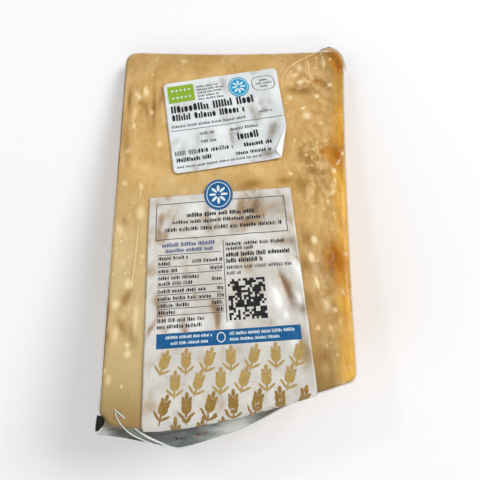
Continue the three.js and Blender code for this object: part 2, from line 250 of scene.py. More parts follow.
class Patches:
    """Patches of points and faces, each with a material slot, that become one piece."""

    def __init__(self):
        self.points, self.faces, self.slots = [], [], []
        self.count = 0

    def add(self, points, faces, slot):
        points = points.reshape(-1, 3)
        self.points.append(points)
        self.faces.append(faces + self.count)
        self.slots += [slot] * len(faces)
        self.count += len(points)

    def make(self, name, materials):
        return make_piece(name, np.vstack(self.points), np.vstack(self.faces), materials, self.slots)


# Materials


class Nodes:
    """A material's node tree, with short calls for the nodes that this scene uses."""

    def __init__(self, name):
        self.material = bpy.data.materials.new(name)
        self.material.use_nodes = True
        self.tree = self.material.node_tree
        self.tree.nodes.clear()
        self.output = self.add("ShaderNodeOutputMaterial")

    def add(self, kind, inputs=None, **settings):
        """A node with its settings, and with inputs that are linked to a socket or set to a value."""
        node = self.tree.nodes.new(kind)
        for key, value in settings.items():
            setattr(node, key, value)
        for key, value in (inputs or {}).items():
            if isinstance(value, bpy.types.NodeSocket):
                self.tree.links.new(value, node.inputs[key])
            elif value is not None:
                node.inputs[key].default_value = value
        return node

    def place(self, lengths):
        """Coordinates in millimetres, divided by the given lengths."""
        coordinates = self.add("ShaderNodeTexCoord").outputs["Object"]
        inputs = {"Vector": coordinates, "Scale": [1 / MM / length for length in lengths]}
        return self.add("ShaderNodeMapping", inputs).outputs["Vector"]

    def noise(self, length, detail=3, roughness=0.5, distortion=0):
        lengths = length if isinstance(length, tuple) else (length,) * 3
        inputs = {"Vector": self.place(lengths), "Scale": 1, "Detail": detail}
        inputs.update({"Roughness": roughness, "Distortion": distortion})
        return self.add("ShaderNodeTexNoise", inputs).outputs["Fac"]

    def cells(self, length, warp):
        """Voronoi cells about one length wide, with ragged edges for a warp above 0."""
        bend = self.add("ShaderNodeTexNoise", {"Vector": self.place((length * 0.5,) * 3), "Scale": 1})
        inputs = {0: bend.outputs["Color"], 1: (warp,) * 3, 2: self.place((length,) * 3)}
        bent = self.add("ShaderNodeVectorMath", inputs, operation="MULTIPLY_ADD").outputs["Vector"]
        return self.add("ShaderNodeTexVoronoi", {"Vector": bent, "Scale": 1})

    def span(self, value, low, high, to_low=0, to_high=1):
        """Maps low..high to to_low..to_high, smoothly and clamped."""
        inputs = {"Value": value, "From Min": low, "From Max": high, "To Min": to_low, "To Max": to_high}
        return self.add("ShaderNodeMapRange", inputs, interpolation_type="SMOOTHSTEP").outputs["Result"]

    def math(self, operation, a, b=None, c=None):
        return self.add("ShaderNodeMath", {0: a, 1: b, 2: c}, operation=operation).outputs[0]

    def times(self, a, b):
        return self.math("MULTIPLY", a, b)

    def mix(self, share, a, b):
        return self.add("ShaderNodeMix", {0: share, 6: a, 7: b}, data_type="RGBA").outputs[2]

    def attribute(self, name):
        return self.add("ShaderNodeAttribute", attribute_name=name).outputs["Fac"]

    def bump(self, height, distance, strength=1, normal=None):
        """Distance is in millimetres for a height of 1."""
        inputs = {"Strength": strength, "Distance": distance * MM, "Height": height, "Normal": normal}
        return self.add("ShaderNodeBump", inputs).outputs["Normal"]

    def principled(self, colour, roughness, normal=None, **numbers):
        inputs = {"Base Color": colour, "Roughness": roughness, "Normal": normal}
        inputs.update({key.replace("_", " "): number for key, number in numbers.items()})
        return self.add("ShaderNodeBsdfPrincipled", inputs).outputs["BSDF"]

    def finish(self, shader):
        self.tree.links.new(shader, self.output.inputs["Surface"])
        return self.material


def srgb(red, green, blue):
    """A colour given as it looks on a screen, 0 to 255, as linear values."""
    c = np.array([red, green, blue]) / 255
    linear = np.where(c <= 0.04045, c / 12.92, ((c + 0.055) / 1.055) ** 2.4)
    return (*linear.tolist(), 1)


def cheese_material():
    n = Nodes("cheese")
    cloud = n.span(n.noise((15, 19, 15), 3, 0.5, 0.5), 0.34, 0.66)
    colour = n.mix(cloud, srgb(208, 166, 98), srgb(229, 191, 127))
    mottle = n.span(n.noise((5, 8, 6), 4, 0.62, 0.3), 0.42, 0.66)
    colour = n.mix(n.times(mottle, 0.34), colour, srgb(192, 148, 78))
    grain = n.span(n.noise((2.2, 4.4, 3), 3, 0.6), 0.42, 0.7)
    colour = n.mix(n.times(grain, 0.24), colour, srgb(244, 212, 152))
    colour = n.mix(n.times(n.attribute("golden"), 0.8), colour, srgb(205, 160, 94))
    colour = n.mix(n.attribute("beige"), colour, srgb(212, 190, 140))
    # Broken, crumbly places: pale flakes that run towards the tip, between olive-brown pits
    flakes = n.span(n.noise((2.3, 4.8, 3.4), 2.5, 0.55, 0.1), 0.36, 0.66)
    crumbly = n.mix(flakes, srgb(168, 128, 62), srgb(240, 206, 150))
    colour = n.mix(n.times(n.attribute("crumbly"), 0.7), colour, crumbly)
    band_cloud = n.span(n.noise((3, 12, 7), 3, 0.55), 0.35, 0.65)
    band = n.mix(band_cloud, srgb(206, 143, 30), srgb(236, 178, 62))
    band = n.mix(n.attribute("walls"), band, srgb(214, 158, 62))
    colour = n.mix(n.attribute("rind"), colour, band)
    colour = n.mix(n.attribute("shade"), colour, srgb(144, 112, 58))
    # Patches with ragged edges; one of the brown patches is painted shade
    ragged = n.math("MULTIPLY_ADD", n.noise(3.5, 3, 0.6), 0.8, -0.4)
    brown = n.times(n.attribute("brown"), n.math("ADD", ragged, 1.3))
    colour = n.mix(brown, colour, srgb(152, 110, 46))
    stain = n.span(n.math("ADD", n.attribute("stain"), ragged), 0.08, 1)
    amber_cloud = n.span(n.noise((4, 8, 6), 2, 0.5), 0.36, 0.66)
    colour = n.mix(stain, colour, n.mix(amber_cloud, srgb(172, 98, 6), srgb(200, 134, 26)))
    # Pale lumps, and painted highlights where the film glints
    light = n.times(n.attribute("light"), n.math("ADD", ragged, 1))
    colour = n.mix(n.span(light, 0.1, 0.85, 0, 0.92), colour, srgb(247, 223, 172))
    # Painted highlight along the rind's upper edge, and a paler rind towards the heel
    colour = n.mix(n.attribute("pale"), colour, srgb(250, 214, 122))
    # Painted shade along the upper edges
    colour = n.mix(n.attribute("edge"), colour, srgb(100, 72, 34))
    # Crystals: ragged pale specks in some of the cells, more of them on the right
    for length, most, chance in ((8, 0.15, 0.34), (4.2, 0.2, 0.17), (2.3, 0.24, 0.08)):
        cells = n.cells(length, 0.5)
        picked = n.add("ShaderNodeSeparateColor", {0: cells.outputs["Color"]}).outputs
        shown = n.math("LESS_THAN", picked[0], n.times(n.attribute("crystals"), chance))
        size = n.math("MULTIPLY_ADD", picked[1], most, 0.05)
        speck = n.span(n.math("SUBTRACT", size, cells.outputs["Distance"]), -0.05, 0.12)
        speck = n.times(speck, n.span(picked[2], 0, 1, 0.3, 0.85))
        colour = n.mix(n.times(speck, shown), colour, srgb(250, 222, 174))
    crumb = n.bump(n.noise(1.3, 4, 0.65), 0.16, 0.7)
    crumb = n.bump(n.noise(5, 3, 0.6), 0.4, 0.6, crumb)
    return n.finish(n.principled(colour, 0.5, crumb, Specular_IOR_Level=0.05))


def film_material(name, haze, milk_colour, wrinkle, strength, roughness=0.16):
    """Clear film: it lets the light through, with a sharp shine and a little haze."""
    n = Nodes(name)
    waves = n.bump(n.noise((wrinkle * 0.6, wrinkle * 1.6, wrinkle), 4, 0.55, 0.6), strength)
    clear = n.add("ShaderNodeBsdfTransparent", {"Color": (0.985, 0.985, 0.98, 1)})
    shine = n.add("ShaderNodeBsdfGlossy", {"Roughness": roughness, "Normal": waves})
    milk = n.add("ShaderNodeBsdfDiffuse", {"Color": milk_colour, "Normal": waves})
    body = n.add("ShaderNodeMixShader", {0: haze, 1: clear.outputs[0], 2: milk.outputs[0]})
    # The share of shine is the same for light that comes in and for light that goes out
    facing = n.add("ShaderNodeLayerWeight", {"Blend": 0.5, "Normal": waves}).outputs["Facing"]
    share = n.math("MULTIPLY_ADD", n.math("POWER", facing, 5), 0.9, 0.014)
    whole = n.add("ShaderNodeMixShader", {0: share, 1: body.outputs[0], 2: shine.outputs[0]})
    return n.finish(whole.outputs[0])


def fin_material():
    """Spare film over its own folds, nearly opaque and glossy. Its grey is painted shade of the trough,
    brightened by a painted glare and painted streaks of light.
    """
    n = Nodes("film_fin")
    streaks = n.span(n.noise((9, 2.2, 4), 3, 0.55, 0.5), 0.3, 0.7, -0.14, 0.16)
    light = n.math("ADD", n.attribute("glare"), streaks)
    colour = n.mix(n.span(light, 0, 1), srgb(84, 92, 88), srgb(226, 234, 230))
    colour = n.mix(n.attribute("amber"), colour, srgb(150, 128, 92))
    waves = n.bump(n.noise((7, 2.5, 4), 3, 0.55, 0.6), 0.7, 0.8)
    return n.finish(n.principled(colour, 0.2, waves, Alpha=0.93))


def ear_material():
    """Spare film over the cheese's corner, with an amber stain below it. It fades into the pack's film."""
    n = Nodes("film_ear")
    cloud = n.span(n.noise((3, 2.2, 3), 3, 0.6, 0.8), 0.36, 0.66)
    colour = n.mix(cloud, srgb(172, 136, 78), srgb(194, 158, 96))
    colour = n.mix(n.attribute("stain"), colour, srgb(186, 116, 20))
    colour = n.mix(n.attribute("rim"), colour, srgb(182, 168, 134))
    waves = n.bump(n.noise((2, 3.4, 2.4), 3, 0.55, 0.6), 0.5, 0.7)
    return n.finish(n.principled(colour, 0.3, waves, Specular_IOR_Level=0.25, Alpha=n.attribute("cover")))


# Near-black film: painted shadow in the pocket of the heel's corner tuck; also the dark beads along the
# ear's rim
def tuck_material():
    n = Nodes("film_tuck")
    specks = n.span(n.noise(0.8, 2, 0.6), 0.6, 0.7)
    colour = n.mix(specks, srgb(14, 9, 8), srgb(110, 100, 92))
    return n.finish(n.principled(colour, 0.45, Specular_IOR_Level=0.12))


def paper_material(name, light, dark, damp_and_shade, shaded_folds):
    """Coated paper. Where it is pressed into the hollows of the pack it is painted greyer as shade and
    warmer where the cheese shows through; its folds carry painted shade and painted highlights.
    """
    n = Nodes(name)
    cloud = n.span(n.noise((13, 10, 11), 3, 0.5, 0.5), 0.35, 0.68)
    colour = n.mix(n.times(cloud, 0.7), srgb(*light), srgb(*dark))
    patchy = n.span(n.noise((7, 9, 8), 3, 0.55, 0.6), 0.4, 0.62)
    # Painted shade in the hollows, warmed where the cheese shows through
    colour = n.mix(n.times(n.attribute("hollow_shade"), patchy), colour, srgb(*damp_and_shade))
    wear_and_shading = n.span(n.noise((2.4, 3.6, 3), 3, 0.6), 0.3, 0.7, 0.75, 1.15)
    # Painted shade in the folds and painted highlights on the bright ones
    colour = n.mix(n.times(n.attribute("fold"), wear_and_shading), colour, srgb(*shaded_folds))
    colour = n.mix(n.times(n.attribute("lit"), wear_and_shading), colour, srgb(250, 250, 247))
    fibre = n.bump(n.noise(0.8, 3, 0.7), 0.05, 0.5)
    fibre = n.bump(n.noise((4, 7, 5), 3, 0.5, 0.8), 0.7, 0.6, fibre)
    return n.finish(n.principled(colour, 0.42, fibre, Coat_Weight=0.35, Coat_Roughness=0.22))


def ink_material(name, colour, wear_and_shading):
    n = Nodes("ink_" + name)
    patchy = n.span(n.noise(1.6, 3, 0.6), 0.42, 0.7, 0, 0.55)
    shade = n.mix(patchy, srgb(*colour), srgb(*wear_and_shading))
    fibre = n.bump(n.noise((4, 8, 5), 3, 0.5, 0.8), 0.5, 0.5)
    gloss = {"Specular_IOR_Level": 0.25, "Coat_Weight": 0.12, "Coat_Roughness": 0.2}
    return n.finish(n.principled(shade, 0.45, fibre, **gloss))


CHEESE = cheese_material()
FILM = film_material("film", 0.005, srgb(236, 232, 222), 4.5, 0.5, 0.1)
# Milky, cream film for the creases: their pale lines are painted highlights
FILM_FOLD_HIGHLIGHT = film_material("film_fold_highlight", 0.4, srgb(254, 234, 180), 3, 0.4)
FILM_CREASE = film_material("film_crease", 0.1, srgb(248, 226, 180), 3, 0.4)
# Pale, milky film for rolled rims and fold edges: a painted highlight
FILM_RIM_HIGHLIGHT = film_material("film_rim_highlight", 0.74, srgb(240, 244, 240), 2, 0.6)
FILM_WEB = film_material("film_web", 0.55, srgb(176, 182, 172), 2.6, 0.7)
FILM_EAR = ear_material()
FILM_FIN = fin_material()
FILM_DARK = tuck_material()
SHORT_PAPER = paper_material(
    "short_paper", (230, 234, 234), (204, 207, 205), (182, 178, 172), (138, 130, 110)
)
LONG_PAPER = paper_material(
    "long_paper", (218, 215, 206), (196, 190, 178), (176, 150, 114), (130, 100, 68)
)
TURNED_PAPER = paper_material(
    "turned_paper", (250, 250, 248), (242, 242, 240), (226, 224, 220), (170, 162, 150)
)
BLACK = ink_material("black", (20, 20, 24), (52, 52, 56))
GREY = ink_material("grey", (84, 84, 88), (128, 128, 130))
GREEN = ink_material("green", (136, 172, 34), (152, 186, 60))
CYAN = ink_material("cyan", (10, 150, 196), (40, 166, 204))
BLUE = ink_material("blue", (6, 84, 136), (36, 114, 162))
SLATE = ink_material("slate", (84, 98, 136), (120, 130, 158))
TAN = ink_material("tan", (144, 110, 48), (168, 138, 78))
LIGHT_TAN = ink_material("light_tan", (174, 144, 80), (192, 166, 108))
RED = ink_material("red", (150, 44, 40), (172, 90, 80))
PALE = ink_material("pale", (226, 234, 232), (204, 220, 222))


# The cheese and the film that is sucked onto it


def wedge_surface(around, face_rings):
    """Points and quads of the wedge's closed surface, from the middle of its foot to its crown."""
    points, normals = wedge_outline(around)
    radius = edge_radius(points[:, 1])
    lean = HEEL_LEAN * np.maximum(0, -normals[:, 1]) ** 2
    high = plane_height(points[:, 1]) - radius
    turns = np.linspace(0, 1, EDGE_RINGS + 1) * np.pi / 2

    def ring(inset, height):
        return np.column_stack([points - normals * inset[:, None], height])

    rings = [ring(radius - lean, np.zeros(around))]
    foot = np.tile(MIDDLE, (around, 1))
    for share in (0.25, 0.5, 0.75):
        rings.insert(-1, foot + (rings[-1] - foot) * share)
    for angle in turns[1:]:
        rings.append(ring(radius * (1 - np.sin(angle)) - lean, radius * (1 - np.cos(angle))))
    for k in range(1, WALL_RINGS):
        share = k / WALL_RINGS
        along, across = points.sum(1) / 21, (points[:, 1] - points[:, 0]) / 21
        bulge = np.minimum(1, high / 20) * np.sin(np.pi * share)
        swell = SIDE_SWELL * noise(along, 7 * share + across) * bulge
        rings.append(ring(swell - lean * (1 - share), radius + (high - radius) * share))
    rim = points - normals * radius[:, None]
    for angle in turns:
        height = plane_height(rim[:, 1]) - radius * (1 - np.sin(angle))
        rings.append(ring(radius * (1 - np.cos(angle)), height))
    for k in range(1, face_rings):
        x, y = (rim + (MIDDLE[:2] - rim) * (k / face_rings)).T
        rings.append(np.column_stack([x, y, plane_height(y) + relief(x, y)]))
    return np.vstack(rings), ring_faces(len(rings), around), len(rings)


def close_ends(points, faces, around, rings):
    """Adds the middle of the foot and the crown, with triangles to them."""
    crown = [[*MIDDLE[:2], plane_height(MIDDLE[1]) + relief(MIDDLE[0], MIDDLE[1])]]
    points = np.vstack([points, [MIDDLE], crown])
    low, high = len(points) - 2, len(points) - 1
    last = (rings - 1) * around
    ends = []
    for k in range(around):
        after = (k + 1) % around
        ends.append([low, after, k])
        ends.append([high, last + k, last + after])
    return points, [*faces.tolist(), *ends]


# Marks on the upper face: x, y, length, width, turn and strength
STAINS = [
    (38.4, -11.6, 9, 5, 0.05, 1.1), (41.4, -26, 9, 3.6, 0, 0.42), (46, 37.6, 8, 3.4, 0.1, 0.85),
    (50.6, 41, 11, 3.4, 0, 0.55), (43, 34.2, 5, 2.4, 0.5, 0.45), (40.5, 40.5, 3.2, 3, 0.4, 0.6),
    (55.6, 91.5, 8, 3.4, 0.25, 1), (44.4, 82, 2.6, 3.4, 0.4, 0.5), (20.6, 26.4, 2.4, 2.6, 0, 0.4),
    (5, 26, 2.2, 4.4, 1.4, 0.3), (-53.6, -24.8, 4.5, 1.6, 0, 0.75), (-52.9, -35.2, 3.6, 1.6, 0, 0.6),
    (-36.4, 28, 2.2, 2, 0, 0.3),
]
# Brown patches; the one at -34.9, 77, beside the short sticker's left edge, is painted shade
BROWN_PATCHES = [
    (37.1, 76.2, 2.6, 4.4, 0, 0.75), (47.4, 79.4, 4, 2.2, 0.6, 0.6), (31, 77, 2, 3, 0, 0.5),
    (28.7, 24.1, 4, 3, 0.3, 0.6), (34.7, 30.6, 3, 2.4, 0, 0.6), (38.6, 24.8, 4, 2, 0.2, 0.5),
    (32.5, 37.5, 3.4, 3, 0.3, 0.6), (27.6, -1.3, 5, 3, 0.2, 0.6), (25.6, -12, 4, 2.2, 0, 0.6),
    (25, -27.3, 4, 2.4, 0, 0.6), (27.4, -47, 2.2, 5, 0.3, 0.45), (33.5, -30, 3, 1.6, 0.4, 0.45),
    (6.5, 25.6, 2.4, 6, 0.15, 0.7), (21.5, 26.5, 1.6, 3, 0, 0.55), (-46.4, -20.7, 3.6, 1.6, -0.5, 0.7),
    (-47.8, -31.6, 4, 1.5, 0.4, 0.5), (-43.4, -35, 4.6, 1.5, 0.3, 0.45), (-50.4, 78.4, 9, 1.3, 0, 0.7),
    (31.5, -14.5, 5, 3, 0, 0.5), (-38, 73, 11, 1.3, 0, 0.75), (-41.4, 70, 7, 0.9, 0.1, 0.5),
    (-34.9, 77, 8, 1.4, -0.1, 0.5), (-43.8, 76, 4, 1.4, 0.3, 0.45), (-50.5, 52, 12, 1.6, 0.1, 0.45),
    (-49.6, 13, 3, 1.8, 0.5, 0.4),
]
# Pale lumps, and painted highlights: many of the small specks and thin streaks at x above 24 are the film's
# glints
PALE_LUMPS_AND_GLINTS = [
    (-42.2, 83.4, 3.2, 1.3, 0.1, 1.1), (-45.9, 80.5, 3, 1.5, 0.5, 0.9), (-47.5, 70, 6, 1.5, -0.1, 0.55),
    (-47.5, 62.2, 1.6, 1, -0.5, 0.9), (-39, 69.8, 1.6, 1.2, 0, 0.8), (-34.6, 50.6, 2, 1.5, 0, 0.85),
    (-49.4, 48.1, 1.8, 1.8, 0, 0.6), (-22.8, 101.7, 1.8, 2.2, 0, 0.55), (-42.2, 16.2, 3.6, 2, 0.1, 0.8),
    (-50.4, 8.2, 3.6, 2, 0.3, 0.5), (-42.6, 29, 2.2, 1.1, 0, 0.8), (-50, 31, 1.5, 1.4, 0, 0.7),
    (-40.7, -4.1, 1.2, 1, 0, 0.8), (-45.7, -15.1, 2.2, 1.9, 0, 0.95), (-50.4, -22.9, 2.2, 1.9, 0, 0.8),
    (-42.4, -29, 8, 1.6, 0, 0.6), (-38.8, -25, 6, 1.1, 0, 0.5), (-50, -34.4, 4, 1.8, -0.1, 0.55),
    (-45.2, -38.4, 0.9, 0.9, 0, 1), (-44.8, -41.5, 1.6, 1.6, 0, 0.8), (-51.4, -49.9, 2.2, 1.6, 0, 0.6),
    (30.6, -2.2, 1.8, 1.4, 0, 1.1), (28.3, -9.5, 2, 1.3, 0.1, 1), (29.2, -20.1, 2.6, 0.9, 0.1, 1),
    (31.5, -29, 3.4, 2, 0.2, 0.6), (27.5, -52, 4.5, 2.5, 0, 0.3), (34.4, -31, 0.7, 1, 0.2, 1),
    (31.6, -37.4, 1, 0.7, 0.4, 0.9), (35.6, -35.2, 0.7, 0.6, 0, 0.9), (29.2, -43.6, 0.8, 0.7, 0, 0.8),
    (32.8, -47, 0.6, 0.8, 0.3, 0.8), (38.4, -24.4, 0.8, 0.9, 0, 0.9), (40.6, -33, 0.6, 0.9, 0.2, 0.9),
    (42.2, 21.8, 2, 2, 0, 0.5), (36.1, 60.7, 2.4, 2, 0.3, 0.9), (36.1, 81.9, 1.6, 2.2, 0.2, 0.9),
    (36.4, 91, 2.6, 1.6, 0, 0.8), (33.8, 86.6, 1.6, 2, 0.4, 0.8), (41.1, 92.3, 3.6, 0.9, 0, 0.7),
    (49, 93.5, 4.2, 1.2, 0, 0.7), (29.4, 72.2, 1.8, 2, 0, 0.7), (42.7, 72.1, 1.5, 1.4, 0, 0.9),
    (50.1, 78.6, 1.4, 1.4, 0, 0.9), (35, 65.4, 0.9, 1.8, 0.4, 0.9), (42.2, 55.8, 1.4, 1.3, 0, 0.7),
    (49.6, 38.4, 1.6, 0.6, -0.6, 1), (46.6, 33.6, 1.7, 0.6, -0.7, 1), (44.1, 29.4, 1.4, 0.9, 0.2, 1.1),
    (43.6, 24.8, 1.3, 0.6, 0.3, 0.9), (41.4, 18.6, 0.9, 2, 0.5, 0.8), (38.9, 45.4, 1.5, 0.5, 0.1, 0.75),
    (40.2, 42.4, 1.2, 0.5, -0.2, 0.65), (36.4, 41.6, 0.6, 1.2, 0.3, 0.7), (33, 38.8, 0.9, 1.1, 0, 0.7),
    (24.6, 29.8, 1.2, 0.9, 0.5, 0.9), (34.8, 33, 0.7, 0.5, 0.2, 0.9), (37.2, 34.6, 0.5, 0.8, 0.4, 0.9),
    (35.2, 37.2, 0.9, 0.5, 0, 0.9), (38.4, 31.2, 0.6, 0.6, 0.1, 0.8), (39, 14.6, 0.6, 0.9, 0.3, 0.8),
    (36.8, 11.2, 0.9, 0.6, 0, 0.8), (40.2, 8.4, 0.5, 0.7, 0.2, 0.9), (38.2, 1.6, 0.7, 0.6, 0.3, 0.8),
]
CRUMBLY = [
    (37.3, 32.9, 9, 7, 0.2, 1), (32.6, 41.3, 4, 5, 0, 0.7), (31.7, 18.3, 5, 5, 0, 0.6),
    (42.5, 19.9, 6, 3.4, 0, 0.6), (33, -24, 10, 4.4, 0.1, 0.45), (27, -6, 7, 3, 0.2, 0.5),
    (38.5, 83, 6, 8, 0, 0.75), (30, -45, 8, 4, 0, 0.5), (-45, 78, 14, 4.5, 0, 0.55), (-45, 14, 8, 5, 0, 0.4),
    (-46, -28, 10, 5, 0, 0.4),
]


def right_rind(x, y):
    """Distance from the flat rind on the right, measured inwards along X."""
    order = np.argsort(OUTLINE[:, 1])
    right = OUTLINE[order][OUTLINE_NORMALS[order][:, 0] > 0.8]
    return np.interp(y, right[:, 1], right[:, 0]) - x


def make_cheese():
    around = 420
    points, faces, rings = wedge_surface(around, face_rings=84)
    normals = vertex_normals(points, faces)
    x, y = points[:, 0], points[:, 1]
    detail = 0.12 * noise(x / 5.2, y / 6.1) + 0.06 * noise(x / 2.3, y / 2.6)
    points = points + normals * (CHEESE_LIFT + detail)[:, None]
    points[:, 2] = np.maximum(points[:, 2], CHEESE_FOOT)
    points, faces = close_ends(points, faces, around, rings)
    points[-2, 2] = CHEESE_FOOT
    piece = make_piece("cheese", points, faces, [CHEESE])
    x, y, z = points.T
    out_x, out_y, up = np.vstack([normals, [[0, 0, -1], [0, 0, 1]]]).T
    from_rind = right_rind(x, y)
    rind = 1 - smooth(from_rind + 1.6 * noise(x / 9, y / 11), 1, 10)
    rind = np.maximum(rind, smooth(out_x, 0.2, 0.8))
    rind = np.maximum(rind, smooth(-out_y, 0.86, 0.97))
    golden = smooth(x + 5 * noise(x / 20, y / 20), 16, 44)
    beige = smooth(-y, -56, 26) * (1 - smooth(x, -12, 16))
    walls = smooth(np.maximum(out_x, -out_y), 0.5, 0.9)
    # Darker places: the heel's end, the right side below the middle, and the tip's right corner
    off_rind = smooth(from_rind + 1.2 * noise(x / 6 + 5, y / 8), 3, 13)
    low = smooth(-y + 0.2 * np.abs(x + 5), 40, 76)
    shade = 0.5 * low * off_rind
    shade = shade + 0.3 * smooth(-y, 50, 66) * (1 - smooth(x, 0, 20))
    shade = shade + 0.26 * smooth(x, 14, 30) * off_rind * (1 - smooth(y, -24, 4))
    dark_end = smooth(x, 16, 34) * (1 - smooth(y + 0.12 * x, -54, -22))
    shade = shade + 0.35 * dark_end * off_rind + 0.34 * smooth(y, 84, 104)
    shade = shade + 0.4 * smooth(y, 48, 76) * smooth(x, 42, 54)
    shade = shade + 0.3 * smooth(-y, 50, 60) * smooth(x, 16, 26) * off_rind
    # Painted shade: a thin dark brown line along the upper edges, darkest at the left
    line = smooth(up, 0.02, 0.3) * (1 - smooth(up, 0.62, 0.93)) * (z > 6)
    left_line = smooth(y, 24, 46) + spot(0, y, 0, -31, 15, 1, 0)
    edge = line * (0.34 + 0.66 * smooth(-out_x, 0.2, 0.6) * left_line)
    # A painted highlight along the rind's rounded upper edge, and the rind painted paler towards the heel
    pale = 1 - smooth(from_rind + 0.5 * noise(x / 3, y / 6), 0.2, 1.9)
    pale = pale * smooth(up, 0.2, 0.7) * (0.8 - 0.35 * smooth(y, 40, 80))
    pale = pale + 0.24 * rind * (up > 0.2) * smooth(-y, 28, 44)
    fields = {"rind": rind, "golden": golden, "shade": np.minimum(shade, 0.8), "pale": pale, "edge": edge}
    fields.update({"beige": 0.75 * beige, "walls": 0.65 * walls})
    marks = {"stain": STAINS, "brown": BROWN_PATCHES, "light": PALE_LUMPS_AND_GLINTS, "crumbly": CRUMBLY}
    fields.update({name: marks_at(places, x, y) * (up > 0) for name, places in marks.items()})
    fields["crumbly"] = fields["crumbly"] + 0.4 * golden * (up > 0)
    for name, amount in fields.items():
        set_attribute(piece, name, np.clip(amount, 0, 1))
    set_attribute(piece, "crystals", (0.7 + 1.5 * golden) * (1 - walls))
    return piece


def film_lift(x, y):
    """How far the film stands off the plain surface: in fine streaks, more so at the right of the tip."""
    streaks = 0.1 * noise(x / 2.6, y / 13 + 4) + 0.07 * noise(x / 7 + 9, y / 3.4)
    tip = smooth(y, 84, 98) * smooth(x, 18, 34)
    streaks = streaks + 0.35 * tip * noise(x / 2.4 + 0.6 * noise(x / 9, y / 5), y / 12)
    return FILM_LIFT + 0.1 + np.clip(streaks, -0.12, 0.5)


def make_film():
    around = 460
    points, faces, rings = wedge_surface(around, face_rings=96)
    normals = vertex_normals(points, faces)
    x, y = points[:, 0], points[:, 1]
    up = normals[:, 2]
    side = 0.16 * noise((x + y) / 6, points[:, 2] / 14) * (1 - smooth(np.abs(up), 0.3, 0.8))
    lift = film_lift(x, y) + side
    points = points + normals * lift[:, None] * smooth(points[:, 2], -0.2, 1.2)[:, None]
    points, faces = close_ends(points, faces, around, rings)
    return make_piece("pack_film", points, faces, [FILM])


def smooth_path(points, step):
    """A curve through the points, as points about a step apart, with the share of the way."""
    points = np.array(points, float)
    padded = np.vstack([2 * points[0] - points[1], points, 2 * points[-1] - points[-2]])
    line = []
    for k in range(len(points) - 1):
        a, b, c, d = padded[k : k + 4]
        count = max(2, int(np.ceil(np.linalg.norm(c - b) / step)))
        t = np.linspace(0, 1, count, endpoint=False)[:, None]
        line.append(0.5 * (2 * b + (c - a) * t + (2 * a - 5 * b + 4 * c - d) * t**2
                           + (3 * b - a - 3 * c + d) * t**3))
    line = np.vstack([*line, points[-1:]])
    return line, np.linspace(0, 1, len(line))


# Creases of the film on the upper face: points in plan, half width and height
CLEAR_CREASE = 0.35
CREASES = [
    ([(26, 80.7), (27.1, 85.4), (29.9, 90.1), (33.5, 93.3), (38.5, 96), (42.9, 98.3), (50, 101.4)],
     0.55, 0.6),
    ([(27.6, 79), (28.4, 84), (31.4, 88.6), (36, 92.4), (41.6, 95.6)], 0.4, 0.25),
    ([(40.6, 96), (41.2, 92.3), (41, 88.6)], 0.45, 0.35),
    ([(38, 94.2), (38.4, 91.4), (38.2, 89)], 0.4, 0.3),
    ([(48.8, 97.6), (49.2, 93.5), (48.8, 90)], 0.5, 0.35),
    ([(45, 98), (45.4, 95), (45, 92.4)], 0.4, 0.3),
    ([(-42.9, 11), (-43.1, 3), (-43.7, -9), (-45, -18)], 0.42, 0.42),
    ([(-42.5, 30), (-42.6, 26), (-42.9, 21.5)], 0.4, 0.35),
    ([(-47.5, 90), (-45.6, 85), (-46.2, 78), (-48, 71)], 0.7, 0.3),
    ([(-48.6, 66), (-46.8, 61), (-46, 57)], 0.4, 0.35),
    ([(-50.5, 66), (-48.6, 56), (-45.4, 47)], 0.5, 0.2),
    ([(-41, 50), (-42.4, 44), (-44.6, 39)], 0.5, 0.2),
    ([(47.6, 44), (48.4, 38), (47, 33)], 0.5, 0.24),
    ([(48, 40), (49, 33), (47.6, 27)], 0.5, 0.22),
    ([(38.5, -22), (40.4, -25.5), (43, -28)], 0.6, 0.34),
    ([(-5, 108), (-4.2, 100), (-4.6, 94)], 0.4, 0.2),
]


def make_creases():
    """Sharp creases of the film as low ridges that lie on it."""
    patches = Patches()
    profile = np.linspace(-1, 1, 7)
    for path, width, height in CREASES:
        line, share = smooth_path(path, 0.8)
        way = np.gradient(line, axis=0)
        way /= np.linalg.norm(way, axis=1, keepdims=True)
        taper = np.sin(np.pi * np.clip(share, 0.02, 0.98))[:, None] ** 0.6
        offset = profile[None, :] * width * taper
        x = line[:, :1] - way[:, 1:] * offset
        y = line[:, 1:] + way[:, :1] * offset
        lift = height * taper * np.cos(profile * np.pi / 2)[None, :] ** 1.5
        ridge = skin_point(x, y, film_lift(x, y) + 0.03 + lift)
        patches.add(ridge, grid_faces(len(line), len(profile)), 0 if height >= CLEAR_CREASE else 1)
    return patches.make("film_creases", [FILM_FOLD_HIGHLIGHT, FILM_CREASE])


# The spare film along the heel: the row of its quads that carries small red and black dashes, and its
# rim as x, y and depth below the plane of the upper face
FIN_MARK_ROW = 18
FIN_RIM = [
    (-56, -68, 4), (-51, -69.2, 5), (-46.1, -70.4, 6), (-38.9, -72.4, 7), (-32.3, -74.3, 8),
    (-27.4, -75.3, 8.6), (-23.4, -75, 8.6), (-15.8, -73.5, 8.6), (-4.9, -71, 9), (3.4, -68.2, 9.5),
    (12.3, -64.9, 10.5), (23, -61.5, 12), (33, -57.8, 13.5),
]


def on_face(places, step):
    """A smooth curve through places, each as x, y and depth below the plane of the upper face."""
    return smooth_path([(x, y, plane_height(y) - depth) for x, y, depth in places], step)


def resample(line, count):
    """A curve as count points, evenly by its share."""
    share = np.linspace(0, 1, len(line))
    return np.stack([np.interp(np.linspace(0, 1, count), share, column) for column in line.T], 1)


